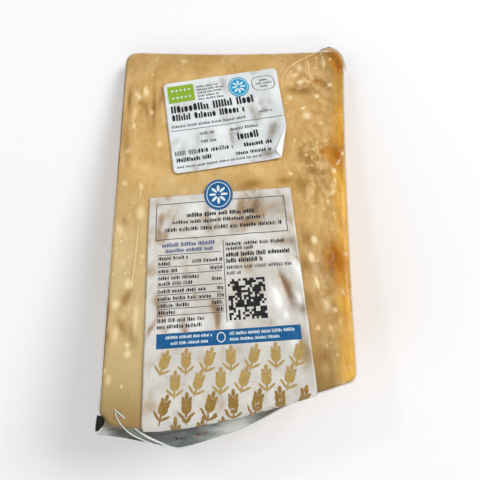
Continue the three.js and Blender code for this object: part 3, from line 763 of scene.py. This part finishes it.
def loft(a, b, shares, rise):
    """Rows of points from line a to line b, each raised by what rise gives for its share and points."""
    rows = []
    for share in shares:
        row = a * (1 - share) + b * share
        row[:, 2] += rise(share, row)
        rows.append(row)
    return np.array(rows)


def tube(line, radius, sides=8):
    """A round bead along points, open at both ends, as points and faces."""
    way = np.gradient(line, axis=0)
    way /= np.linalg.norm(way, axis=1, keepdims=True)
    across = np.cross(way, [0, 0, 1])
    across /= np.linalg.norm(across, axis=1, keepdims=True)
    up = np.cross(across, way)
    turns = np.linspace(0, 2 * np.pi, sides, endpoint=False)
    radius = np.broadcast_to(radius, len(line))
    ring = across[:, None] * np.cos(turns)[None, :, None] + up[:, None] * np.sin(turns)[None, :, None]
    points = (line[:, None] + ring * radius[:, None, None]).reshape(-1, 3)
    return points, ring_faces(len(line), sides)


def make_fin():
    """The fin: a trough of film from the heel's wall out to a rolled rim, painted bright as a highlight."""
    rim, share = on_face(FIN_RIM, 0.6)
    root_y = np.minimum(heel_y(np.clip(rim[:, 0], -49, 60)), -62) + 2.2
    root_y = np.maximum(root_y, rim[:, 1] + 1)
    start = smooth(rim[:, 0], -56, -40)
    root = np.column_stack([rim[:, 0] + 2.4 * (1 - start), root_y, plane_height(root_y) - 3 - 5.4 * start])

    def rise(out, row):
        ripple = 0.3 * noise(row[:, 0] / 6, out * 2) + 0.16 * noise(row[:, 0] / 2.4, out * 3)
        return ripple * out * (1 - out) * 4 - 1.6 * np.sin(np.pi * out) * (0.4 + 0.6 * start)

    outs = np.linspace(0, 1, 26)
    patches = Patches()
    patches.add(loft(root, rim, outs, rise), grid_faces(len(outs), len(rim)), 0)
    width = 0.14 + 0.22 * np.sin(np.pi * np.clip(share, 0.03, 0.97)) * smooth(rim[:, 0], -50, -30)
    bead, bead_faces = tube(rim, width)
    patches.add(bead, bead_faces, 1)
    # Small red and black dashes in one row of the fin: slot, from x to x
    for slot, low, high in ((2, -28.4, -25), (3, -21, -17.6)):
        for column in range(len(rim) - 1):
            if low < rim[column, 0] < high and lattice(column, slot) > 0.25:
                patches.slots[FIN_MARK_ROW * (len(rim) - 1) + column] = slot
    piece = patches.make("film_fin", [FILM_FIN, FILM_RIM_HIGHLIGHT, BLACK, RED])
    x = np.vstack(patches.points)[:, 0]
    out = np.append(np.repeat(outs, len(rim)), np.ones(len(bead)))
    glare = 0.1 + 0.8 * spot(x, out, -6, 0.8, 0.42, 9, 0) + 0.2 * smooth(x, 4, 12)
    glare = glare + 0.5 * spot(x, out, -54, 0.7, 0.5, 3, 0)
    set_attribute(piece, "glare", np.clip(glare, 0, 1))
    set_attribute(piece, "amber", 0.75 * (1 - smooth(x, -50, -38)) * (1 - smooth(out, 0.3, 0.95)))
    return piece


def make_pleat():
    """The double fold that runs from the heel's left corner to the fin's rim, its two edges painted bright
    as highlights.
    """
    upper = [(-47.9, -59.6, -0.5), (-46.3, -61, -0.1), (-44.7, -62.5, 0.4), (-41.6, -66, 2),
             (-38, -69.7, 4.6), (-33.6, -72.8, 7.2), (-30.6, -74.4, 8.2), (-26, -75.6, 8.4)]
    lower = [(-47.6, -60.4, -0.5), (-47.2, -61.8, -0.4), (-45.5, -65.2, 1.2), (-42.8, -68.9, 4.2),
             (-38.4, -71.9, 6.6), (-34.5, -73.8, 7.8), (-30.5, -75, 8.2)]
    patches = Patches()
    edges = []
    count = 60
    for places, size in ((upper, 0.4), (lower, 0.27)):
        line, share = on_face(places, 0.7)
        bead, bead_faces = tube(line, size * (0.4 + 0.6 * np.sin(np.pi * np.clip(share, 0.04, 0.96))))
        patches.add(bead, bead_faces, 1)
        edges.append(resample(line, count))
    t = np.linspace(0, 1, count)
    shares = np.linspace(0, 1, 12)
    web = loft(*edges, shares, lambda share, row: 0.5 * np.cos(3 * np.pi * share) - 0.5
               + 0.2 * noise(t * 9, share * 2))
    patches.add(web, grid_faces(len(shares), count), 0)
    return patches.make("film_pleat", [FILM_WEB, FILM_RIM_HIGHLIGHT])


def make_ear():
    """The ear of film round the right tip corner: a thin flap with a rolled rim and a fold, whose pale beads
    are painted highlights.
    """
    outer = [(46.2, 100.9), (50, 102.7), (53.4, 104.1), (56.2, 103.2), (58.5, 100.4), (59.8, 96.6),
             (60.2, 92), (59.9, 86.5)]
    inner = [(46.2, 99.9), (50.2, 97.4), (53.4, 93.4), (56.8, 86.5)]
    # Beads along the flap: share of the way out, first and last column, size and slot
    beads = [(1, 0, 8, 0.2, 1), (1, 7, 14, 0.4, 2), (1, 13, 24, 0.16, 2), (1, 23, 72, 0.18, 1),
             (0.76, 40, 72, 0.2, 3)]
    columns = 72
    a, b = [resample(smooth_path(line, 0.4)[0], columns) for line in (inner, outer)]

    def place(share, lift):
        x, y = (a * (1 - share) + b * share).T
        wave = 0.25 * noise(x / 2.2, y / 4)
        z = plane_height(y) + relief(x, y) + 0.5 - 1.5 * share**3 + wave * share + lift
        return np.stack([x, y, z], 1)

    shares = np.linspace(0, 1, 24)
    patches = Patches()
    patches.add(np.array([place(share, 0) for share in shares]), grid_faces(len(shares), columns), 0)
    taper = 0.4 + 0.6 * np.sin(np.pi * np.linspace(0.03, 0.97, columns))
    for share, first, last, size, slot in beads:
        bead, bead_faces = tube(place(share, 0.1)[first:last], size * taper[first:last])
        patches.add(bead, bead_faces, slot)
    piece = patches.make("film_ear", [FILM_EAR, FILM_RIM_HIGHLIGHT, FILM_DARK, FILM_FOLD_HIGHLIGHT])
    whole = np.ones(patches.count - len(shares) * columns)
    share = np.repeat(shares, columns)
    along = np.tile(np.linspace(0, 1, columns), len(shares))
    cover = smooth(share, 0.05, 0.75) * smooth(along, 0, 0.12) * (1 - smooth(along, 0.82, 1))
    set_attribute(piece, "cover", np.append(cover, whole))
    set_attribute(piece, "rim", np.append(smooth(share, 0.72, 1), whole))
    x, y = np.vstack(patches.points)[:, :2].T
    set_attribute(piece, "stain", np.clip(1.2 * spot(x, y, 56, 94, 7.6, 3.2, 0), 0, 1))
    return piece


def make_corner_fold():
    """A tuck of film at the heel's left corner, near-black as painted shadow in its pocket, with a lip below
    it painted bright as a highlight.
    """
    outer = [(-54.6, -61.2, 0.9), (-55, -63.8, 1.3), (-55.3, -66.6, 2.2)]
    inner = [(-52.6, -61.4, -0.2), (-51.4, -63.1, 0), (-53.2, -66.2, 1.4)]
    lip = [(-52.6, -65.4, 1.2), (-53.9, -66.6, 1.9), (-55.6, -68, 3.6)]
    t = np.linspace(0, 1, 18)
    shares = np.linspace(0, 1, 10)
    edges = [resample(on_face(places, 0.4)[0], len(t)) for places in (outer, inner)]
    sheet = loft(*edges, shares, lambda share, row: 0.4 * np.sin(np.pi * share) * np.sin(np.pi * t))
    patches = Patches()
    patches.add(sheet, grid_faces(len(shares), len(t)), 0)
    bead, bead_faces = tube(on_face(lip, 0.4)[0], 0.28)
    patches.add(bead, bead_faces, 1)
    return patches.make("film_tuck", [FILM_DARK, FILM_RIM_HIGHLIGHT])


# The two stickers. Each is a sheet with places (u, v) in millimetres, right and down from its upper
# left corner, that follows the pack and is crumpled with it.


def crumple(x, y):
    """Creased paper from about -1 to 1: broad waves with sharper ridges between them."""
    soft = noise(x / 10 + 3.1, y / 15 + 1.7)
    ridged = 0.28 - np.abs(noise(x / 6.5 + 8.2, y / 10 + 5.5))
    cross = 0.22 - np.abs(noise((x + y) / 9 + 4.4, (x - y) / 15 + 2.5))
    fine = noise(x / 3.6 + 2.3, y / 5 + 7.9)
    return 0.8 * soft + 1.3 * ridged + 0.9 * cross + 0.3 * fine


# Hollows and bright folds of the stickers: u, v, length down, width, turn, and depth or, below 0,
# brightness
# A hollow sinks the paper and is painted with shade, a bright fold raises it and is painted with a
# highlight; the hollows just left of the short sticker's turned corner paint its shadow.
SHORT_FOLDS = [
    (30, 5, 6, 1.6, 0, 0.45), (41.2, 24, 5.5, 1.3, -0.1, 0.6), (43.6, 26, 5.5, 1, -0.1, 0.35),
    (28.8, 36.2, 5.5, 0.8, 0, 0.5), (13, 35, 5, 0.8, 0, 0.25), (49.6, 36, 4.6, 2.6, 0.6, 0.75),
    (46.4, 41, 3.6, 2, 0.5, 0.5), (44, 49.4, 2.6, 2.6, 0.3, 0.85), (49.5, 24, 6, 4, 0.3, 0.25),
    (26, 8, 7, 2.4, 0, -0.3), (24.5, 36, 6, 2.6, 0, -0.4), (37, 33, 6, 2, 0.2, -0.3),
    (45.5, 30, 4, 1.6, 0.5, -0.35), (55, 12, 8, 2, 0.2, -0.3),
]
LONG_FOLDS = [
    (4.8, 14.4, 5.5, 1.1, 0.1, 0.75), (7, 19, 2.2, 1.6, 0, 0.3), (10.4, 11.5, 6, 0.6, 0.4, 0.3),
    (24.9, 8.4, 3.6, 1.3, 0, 0.6), (25.8, 14.6, 2.8, 1.9, 0, 0.65), (35.5, 17.9, 2.2, 1.9, 0, 0.5),
    (39.6, 8.2, 4.2, 1.6, 0.15, 0.65), (45.7, 7.2, 4.4, 2.6, 0.1, 1), (42.2, 14.6, 2.4, 5, 0, 0.6),
    (53.5, 9.6, 7, 5, 0.3, 0.35), (56.6, 24.4, 1.8, 4.6, 0, 0.5), (60.4, 27.5, 4.5, 1.6, -0.2, 0.5),
    (54, 40.4, 5, 1.5, -0.3, 0.9), (56.2, 46.8, 4.6, 1.7, -0.3, 1), (60.6, 51.8, 2.6, 2, 0, 0.75),
    (4.4, 45.9, 4.4, 1.4, 0, 0.35), (2.4, 55.2, 4, 0.8, 0.5, 0.6), (7.8, 56.2, 1.6, 1.6, 0, 0.4),
    (15.1, 56.2, 3, 1.1, 0, 0.65), (27.6, 53.6, 4, 1.2, 0, 0.85), (26.7, 48.6, 2.4, 1.8, 0, 0.45),
    (34.6, 56.4, 1.8, 2.4, 0, 0.35), (47, 57, 2, 2, 0, 0.35), (58.6, 66, 9, 3, -0.2, 0.4),
    (27.6, 9.5, 4.6, 1.1, 0, -0.6), (19.2, 7, 3.6, 4, 0, -0.6), (21, 17.5, 1.8, 3, 0, -0.5),
    (10.4, 56, 2.6, 1.6, 0, -0.8), (20.2, 54.8, 2.6, 3.2, 0, -0.8), (31.9, 56, 2.4, 2, 0, -0.7),
    (59.4, 48, 2.4, 1, -0.2, -1), (60, 37.5, 5, 1.5, -0.2, -0.8), (50, 47.5, 6, 1.8, -0.3, -0.7),
    (51, 30, 4, 6, 0, -0.4), (43, 20.4, 1.2, 5, 0, -0.5), (55.5, 63.5, 3, 2, 0, -0.7),
    (53.6, 53.8, 2, 1, 0, -0.8),
]


class Sticker:
    """A paper sheet. Its places u and v are millimetres right and down from its upper left corner."""

    def __init__(self, corner, right, down, folds, crumpled, sunk, loose):
        self.corner = corner
        self.right = right / np.hypot(*right)
        self.down = down / np.hypot(*down)
        self.folds = folds
        self.crumpled, self.sunk, self.loose = crumpled, sunk, loose

    def place(self, u, v):
        u, v = np.broadcast_arrays(np.asarray(u, float), np.asarray(v, float))
        return [self.corner[k] + u * self.right[k] + v * self.down[k] for k in (0, 1)]

    def relief(self, u, v):
        """The paper's height above its rest, in millimetres, with its loose corner lower right."""
        loose = self.loose * smooth(u - 0.34 * (53 - v), 40, 52) * smooth(v, 28, 46)
        return self.crumpled * crumple(*self.place(u, v)) - self.sunk * marks_at(self.folds, u, v) + loose

    def point(self, u, v, lift):
        x, y = self.place(u, v)
        flat = smooth(y - heel_y(x), -6, 6)
        return skin_point(x, y, LABEL_LIFT + self.relief(u, v) * flat + lift)


SHORT = Sticker((-33.5, 86.2), np.array([57.8, 5]), np.array([5.9, -52.8]), SHORT_FOLDS, 0.18, 0.45, 0.8)
LONG = Sticker((LABEL_LEFT, LABEL_TOP), np.array([1, 0]), np.array([0, -1]), LONG_FOLDS, 0.24, 0.5, 0)


def sheet_piece(name, u, v, point, material, ride_up=0, sticker=None):
    """A closed thin sheet from a grid of (u, v)."""
    rows, columns = u.shape
    top = point(u, v, LABEL_THICKNESS + ride_up).reshape(-1, 3)
    bottom = point(u, v, ride_up).reshape(-1, 3)
    faces = grid_faces(rows, columns)
    count = rows * columns
    rim = [*range(columns), *range(2 * columns - 1, count, columns)]
    rim += [*range(count - 2, count - columns - 1, -1), *range(count - 2 * columns, 0, -columns)]
    side = [[a, b, b + count, a + count] for a, b in zip(rim, rim[1:] + rim[:1])]
    every = [*faces.tolist(), *(faces[:, ::-1] + count).tolist(), *side]
    piece = make_piece(name, np.vstack([top, bottom]), every, [material])
    if sticker:
        shaded_folds = [fold for fold in sticker.folds if fold[5] > 0]
        bright = [fold for fold in sticker.folds if fold[5] < 0]
        # Painted shade in the hollows and folds, and painted highlights on the bright folds
        fields = {"hollow_shade": 1 - smooth(sticker.relief(u, v), -0.16, 0.1)}
        fields.update({"fold": marks_at(shaded_folds, u, v), "lit": -marks_at(bright, u, v)})
        for field, amount in fields.items():
            set_attribute(piece, field, np.tile(np.clip(amount.reshape(-1), 0, 1), 2))
    return piece


def corner_inset(distance, radius):
    depth = np.maximum(0, radius - distance)
    return radius - np.sqrt(radius**2 - depth**2)


def make_short_sticker():
    height, corner_round = 53.1, 2.2
    v = np.concatenate([[0, 0.15, 0.5, 1.1], np.linspace(1.9, 51.2, 74), [52, 52.6, 52.95, height]])
    share = np.linspace(0, 1, 84)
    left = corner_inset(np.minimum(v, height - v), corner_round)
    # The right edge, where the turned corner is folded away
    right = np.interp(v, [0, 36, height], [58, 55.2, 49.2]) - corner_inset(v, corner_round)
    u = left[:, None] + (right - left)[:, None] * share[None, :]
    v = np.repeat(v[:, None], len(share), 1)
    sheet = sheet_piece("short_sticker", u, v, SHORT.point, SHORT_PAPER, sticker=SHORT)
    # The turned corner lies over the sticker, open towards its tip
    edge, foot, tip = np.array([55.2, 36]), np.array([49.2, height]), np.array([47.4, 49.4])
    rows = []
    for a in np.linspace(0, 1, 18):
        fold = edge + (foot - edge) * a
        rows.append([tip + (fold - tip) * b for b in np.linspace(0.01, 1, 12)])
    flap = np.array(rows)

    def turned(u, v, lift):
        off = np.hypot(u - tip[0], v - tip[1])
        fold_way = np.abs((u - edge[0]) * (foot[1] - edge[1]) - (v - edge[1]) * (foot[0] - edge[0]))
        from_fold = fold_way / np.hypot(*(foot - edge))
        rise = 0.2 + 1.3 * smooth(from_fold, 0, 4.5) - 0.25 * smooth(off, 0, 2)
        return SHORT.point(u, v, LABEL_THICKNESS + rise + lift)

    corner = sheet_piece("turned_corner", flap[:, :, 0], flap[:, :, 1], turned, TURNED_PAPER)
    corner.parent = sheet
    return sheet


def make_long_sticker():
    """It goes down past the heel's edge and hangs a little down the heel."""
    u = (LABEL_RIGHT - LABEL_LEFT) * np.linspace(0, 1, 88)
    bend = EDGE_RADIUS * (np.pi / 2 - WEDGE_ANGLE)
    foot = LABEL_TOP - (heel_y(LABEL_LEFT + u) + EDGE_RADIUS) + bend + HEEL_HANG
    down = np.linspace(0, 1, 132)
    v = down[:, None] * foot[None, :]
    u = np.repeat(u[None, :], len(down), 0)
    return sheet_piece("long_sticker", u, v, LONG.point, LONG_PAPER, sticker=LONG)


# The round seal tab: its middle and half sizes, and its height above the sheet
SEAL = (30.3, 1, 6.4, 7.6)
SEAL_LIFT = 0.12


def make_seal_tab():
    centre_u, centre_v, radius_u, radius_v = SEAL
    angle = np.linspace(0.03, np.pi - 0.03, 30)
    v = centre_v - radius_v * np.cos(angle)
    half = radius_u * np.sin(angle)
    u = centre_u + half[:, None] * np.linspace(-1, 1, 26)[None, :]
    return sheet_piece("seal_tab", u, np.repeat(v[:, None], 26, 1), LONG.point, LONG_PAPER, SEAL_LIFT)


class Print(Patches):
    """Printed shapes on a sticker, each a patch of its surface, a hair above the paper."""

    def __init__(self, sticker, inks, lift=0):
        super().__init__()
        self.sticker, self.inks = sticker, inks
        self.lift = LABEL_THICKNESS + INK_LIFT + lift
        self.random = np.random.default_rng(PRINT_SEED)

    def patch(self, u, v, faces, ink, layer):
        self.add(self.sticker.point(u, v, self.lift + INK_LAYER * layer), faces, self.inks.index(ink))

    def bar(self, u0, v0, u1, v1, ink, layer=0):
        """A filled rectangle."""
        columns = int(np.ceil(abs(u1 - u0) / BAR_STEP)) + 1
        rows = int(np.ceil(abs(v1 - v0) / BAR_STEP)) + 1
        v, u = np.meshgrid(np.linspace(v0, v1, rows), np.linspace(u0, u1, columns), indexing="ij")
        self.patch(u, v, grid_faces(rows, columns), ink, layer)

    def oval(self, cu, cv, ru, rv, ink, inner=0, layer=0, turn=0, power=2):
        """A filled oval, or a ring where inner is above 0. A high power squares it off."""
        count = 40 if ru > 2 else 12
        rings = int(np.ceil(max(ru, rv) * (1 - inner) / OVAL_STEP)) + 1
        angle = np.linspace(0, 2 * np.pi, count, endpoint=False)[None, :]
        reach = np.linspace(max(inner, 0.03), 1, rings)[::-1][:, None]
        cos, sin = np.cos(angle), np.sin(angle)
        a = reach * ru * np.sign(cos) * np.abs(cos) ** (2 / power)
        b = reach * rv * np.sign(sin) * np.abs(sin) ** (2 / power)
        u = cu + a * np.cos(turn) - b * np.sin(turn)
        v = cv + a * np.sin(turn) + b * np.cos(turn)
        self.patch(u, v, ring_faces(rings, count), ink, layer)

    def strokes(self, u0, u1, v, height, ink, bold=False, layer=0):
        """A line of small stems and filled ovals, where the real label has words."""
        u = u0
        stem = height * (0.21 if bold else 0.15)
        gap = height * (0.1 if bold else 0.15)
        while u < u1 - stem:
            for _ in range(int(self.random.integers(5, 12))):
                if u > u1 - stem:
                    break
                kind = self.random.integers(0, 5)
                if kind < 2:
                    half, tall = height * 0.2, height * (0.5 if kind else 0.4)
                    self.oval(u + half, v + height * 0.5 - tall, half, tall, ink, layer=layer, power=2.6)
                    u += 2 * half + gap
                else:
                    top = v - height * (0.5 if kind < 4 else 0.22)
                    self.bar(u, top, u + stem, v + height * 0.5, ink, layer)
                    u += stem + gap
            u += height * 0.42

    def lines(self, rows):
        for row in rows:
            self.strokes(*row)

    def rosette(self, cu, cv, ru, rv, ink, layer):
        """A disc with a pale ring and eight pale petals."""
        self.oval(cu, cv, ru, rv, ink, layer=layer)
        self.oval(cu, cv, ru * 0.88, rv * 0.88, PALE, inner=0.94, layer=layer + 1)
        for k in range(8):
            angle = k * np.pi / 4
            at_u, at_v = cu + ru * 0.42 * np.sin(angle), cv - rv * 0.42 * np.cos(angle)
            self.oval(at_u, at_v, ru * 0.1, rv * 0.23, PALE, layer=layer + 1, turn=angle)

    def sprig(self, cu, cv, size, turn, ink):
        """An ear of grain: a stem with two leaves, pairs of full grains and one grain at the tip."""
        ahead = np.array([np.sin(turn), -np.cos(turn)])
        aside = np.array([np.cos(turn), np.sin(turn)])

        def leaf(share, side, reach, wide, tall, lean):
            at = np.array([cu, cv]) + ahead * size * share + aside * side * size * reach
            self.oval(at[0], at[1], size * wide, size * tall, ink, turn=turn + side * lean)

        leaf(-0.1, 0, 0, 0.055, 0.46, 0)
        leaf(0.48, 0, 0, 0.085, 0.16, 0)
        for side in (-1, 1):
            leaf(-0.3, side, 0.2, 0.055, 0.24, 0.9)
            for share in (-0.06, 0.12, 0.3):
                leaf(share, side, 0.13, 0.08, 0.165, 0.45)

    def finish(self, name):
        return self.make(name, self.inks)


# Lines of strokes below are given as from u, to u, v, height, ink, and then bold and layer


def make_short_print():
    sheet = Print(SHORT, [BLACK, GREY, GREEN, CYAN, PALE])
    sheet.bar(1.8, 2.4, 14.9, 13, GREEN)
    for row in (5.4, 10):
        for column in np.linspace(4.2, 12.6, 5):
            sheet.oval(column, row, 0.55, 0.65, PALE, layer=1)
    for row in np.linspace(4.9, 12.9, 5):
        sheet.strokes(16.4, 28.6 + 1.4 * np.sin(row), row, 1.25, GREY)
    sheet.rosette(37.3, 8.8, 5.1, 6.3, CYAN, 0)
    sheet.oval(49.7, 8.6, 5.7, 4.6, GREY, inner=0.94, power=3.2)
    for row, half in ((6.6, 1.6), (8.6, 3.6), (10.6, 1.9)):
        sheet.strokes(49.7 - half, 49.7 + half + 0.6, row, 1.3, GREY)
    sheet.lines([
        (2.4, 43.8, 17.2, 4.5, BLACK, True), (2.4, 38, 22.4, 3.9, BLACK, True),
        (44.4, 50.8, 25.6, 1.3, GREY), (1.8, 37.4, 27.6, 1.6, GREY),
    ])
    sheet.bar(0.9, 29.9, 55, 30.25, GREY)
    sheet.lines([
        (14.4, 21.6, 33.3, 1.7, GREY), (14.4, 21.6, 37.8, 1.7, GREY), (28.9, 42.4, 33.4, 1.7, GREY),
        (31.6, 42.4, 37.8, 4, BLACK, True), (1.6, 29, 42.8, 2.5, BLACK),
        (33.7, 46.6, 43.1, 2.4, BLACK, True), (29.2, 45.6, 47.2, 1.9, BLACK),
        (2, 18.8, 46.5, 2.4, BLACK, True), (1.8, 41, 50.2, 1.2, GREY),
    ])
    return sheet.finish("short_print")


def make_long_print():
    sheet = Print(LONG, [BLACK, GREY, SLATE, BLUE, TAN, LIGHT_TAN, PALE])
    # The frame near the top: its corners and its line's width
    u0, v0, u1, v1, line = 3.1, 3.6, 58.5, 20.3, 0.36
    sheet.bar(u0, v0, u1, v0 + line, GREY)
    sheet.bar(u0, v1 - line, u1, v1, GREY)
    sheet.bar(u0, v0 + line, u0 + line, v1 - line, GREY)
    sheet.bar(u1 - line, v0 + line, u1, v1 - line, GREY)
    sheet.lines([
        (16.3, 45.4, 9.7, 2, BLACK, True), (10.3, 49.4, 12.7, 1.7, BLACK), (6.9, 56.4, 16, 1.9, BLACK),
        (6, 28.3, 22.7, 1.9, SLATE, True), (7.4, 27.2, 25.2, 1.7, SLATE, True),
    ])
    # The table: its rules, and its lines as v, from u and to u
    for row in (26.9, 32, 35, 40.2, 43.2, 46, 48.7, 51.2):
        sheet.bar(4.3, row - 0.14, 30.4, row + 0.14, GREY)
    for row, left, right in [
        (28.3, 4.6, 16.2), (30.6, 4.6, 9.6), (30.2, 18.4, 30.2), (33.6, 4.6, 12.6), (33.5, 25.6, 30.2),
        (36.5, 4.6, 21.6), (38.8, 4.6, 18.4), (38, 26.2, 30.3), (41.8, 4.6, 23.2), (41.8, 28, 30.4),
        (44.7, 4.6, 25.4), (44.6, 28, 30.4), (47.4, 4.6, 17.2), (47.3, 25.9, 30.4), (50, 4.6, 11.8),
        (50, 27.2, 30.4), (53, 4.6, 23.2), (55.3, 4.6, 22),
    ]:
        sheet.strokes(left, right, row, 1.6, BLACK)
    sheet.bar(31.15, 22.4, 31.45, 55.2, GREY)
    sheet.lines([
        (32.2, 56.6, 24.1, 1.6, BLACK), (32.2, 43, 26, 1.5, BLACK), (32.2, 58.4, 28.6, 2, BLACK, True),
        (32.2, 47, 31.1, 2, BLACK, True), (32.2, 58.2, 34, 1.5, GREY), (32.2, 38, 36.3, 1.5, GREY),
    ])
    # A plain field of small squares, filled at random
    left, top, cells = 32.3, 38.8, 17
    wide, tall = 14.6 / cells, 15.8 / cells
    for row, column in np.argwhere(sheet.random.random((cells, cells)) < 0.55):
        u, v = left + column * wide, top + row * tall
        sheet.bar(u, v, u + wide, v + tall, BLACK)
    # The blue band
    sheet.bar(4.5, 57.8, 58.6, 63.1, BLUE)
    sheet.lines([(8, 25.5, 59.3, 1.1, PALE, False, 1), (10, 24.5, 61.4, 1.1, PALE, False, 1)])
    sheet.oval(28.8, 60.4, 1.7, 1.9, PALE, inner=0.8, layer=1)
    sheet.lines([(32, 56, 59.3, 1.2, PALE, False, 1), (32, 50.5, 61.4, 1.1, PALE, False, 1)])
    # Rows of grain ears, tilted in turn, down to the heel's edge
    for row in range(4):
        for column in range(7):
            u = 7.4 + column * 8.2 + (row % 2) * 4.1
            if u < 57.5:
                ink = LIGHT_TAN if row < 2 else TAN
                sheet.sprig(u, 68.4 + row * 7.4, 8, 0.2 + 0.15 * (-1) ** (row + column), ink)
    return sheet.finish("long_print")


def make_seal_print():
    sheet = Print(LONG, [BLUE, PALE, SLATE], SEAL_LIFT)
    centre_u, centre_v, radius_u, radius_v = SEAL
    sheet.oval(centre_u, centre_v, radius_u * 0.985, radius_v * 0.985, SLATE)
    sheet.rosette(centre_u, centre_v, radius_u * 0.93, radius_v * 0.93, BLUE, 1)
    return sheet.finish("seal_print")


cheese = make_cheese()
pack_film = make_film()
creases = make_creases()
fin = make_fin()
pleat = make_pleat()
ear = make_ear()
tuck = make_corner_fold()
for piece in (cheese, pack_film, creases, fin, pleat, ear, tuck):
    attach(piece, "root")
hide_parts("vacuum_pack")

short_sticker = make_short_sticker()
short_print = make_short_print()
for piece in (short_sticker, short_print):
    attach(piece, "root")
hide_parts("short_label")

long_sticker = make_long_sticker()
seal_tab = make_seal_tab()
long_print = make_long_print()
seal_print = make_seal_print()
for piece in (long_sticker, seal_tab, long_print, seal_print):
    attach(piece, "root")
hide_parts("long_label")


# Floor, light and camera


def make_floor():
    n = Nodes("floor")
    soft = n.mix(n.noise(400, 2), (0.9, 0.9, 0.9, 1), (0.94, 0.94, 0.94, 1))
    material = n.finish(n.principled(soft, 0.8, Specular_IOR_Level=0.1))
    bpy.ops.mesh.primitive_plane_add(size=6, location=(0, 0, -0.0002))
    floor = bpy.context.object
    floor.name = "floor"
    floor.data.materials.append(material)


def make_light(name, place, aim, size, power, colour=(1, 1, 1)):
    light = bpy.data.lights.new(name, "AREA")
    light.shape = "RECTANGLE"
    light.size, light.size_y = size
    light.energy = power
    light.color = colour
    lamp = bpy.data.objects.new(name, light)
    lamp.location = place
    way = Vector(aim) - Vector(place)
    lamp.rotation_euler = way.to_track_quat("-Z", "Y").to_euler()
    bpy.context.collection.objects.link(lamp)


make_floor()
make_light("key", (1.45, 0.6, 1.2), (0, 0, 0.02), (0.7, 0.7), 21.5, (1, 0.985, 0.96))
make_light("fill", (-1.4, -0.5, 1), (0, 0, 0.02), (1.2, 1.2), 7, (0.96, 0.98, 1))
make_light("front", (0.2, -1.7, 0.9), (0, 0, 0.02), (1.4, 0.5), 6)
# Two small lamps that glint in the film's folds
make_light("glint_left", (-0.6, 0.6, 0.9), (0, 0, 0.02), (0.1, 0.1), 1.2)
make_light("glint_right", (0.65, 0.6, 0.85), (0, 0, 0.02), (0.1, 0.1), 1.2)

world = bpy.data.worlds.new("studio")
world.use_nodes = True
world.node_tree.nodes["Background"].inputs["Color"].default_value = (0.93, 0.95, 1, 1)
world.node_tree.nodes["Background"].inputs["Strength"].default_value = 0.47
bpy.context.scene.world = world
bpy.context.scene.view_settings.view_transform = "Standard"

# The photo was taken from close above. The columns of the turn are the camera's right, up and back.
CAMERA_PLACE = np.array([1.35, -28.2, 176.8])
CAMERA_TURN = Matrix((
    (0.99729, 0.07296, 0.00905),
    (-0.06995, 0.97955, -0.18863),
    (-0.02263, 0.18749, 0.98201),
))
camera_data = bpy.data.cameras.new("camera")
camera_data.sensor_width = 36
camera_data.lens = 27
camera_data.clip_start = 0.01
camera = bpy.data.objects.new("camera", camera_data)
camera.matrix_world = CAMERA_TURN.normalized().to_4x4()
camera.location = Vector((CAMERA_PLACE - MIDDLE) * MM)
bpy.context.collection.objects.link(camera)
bpy.context.scene.camera = camera
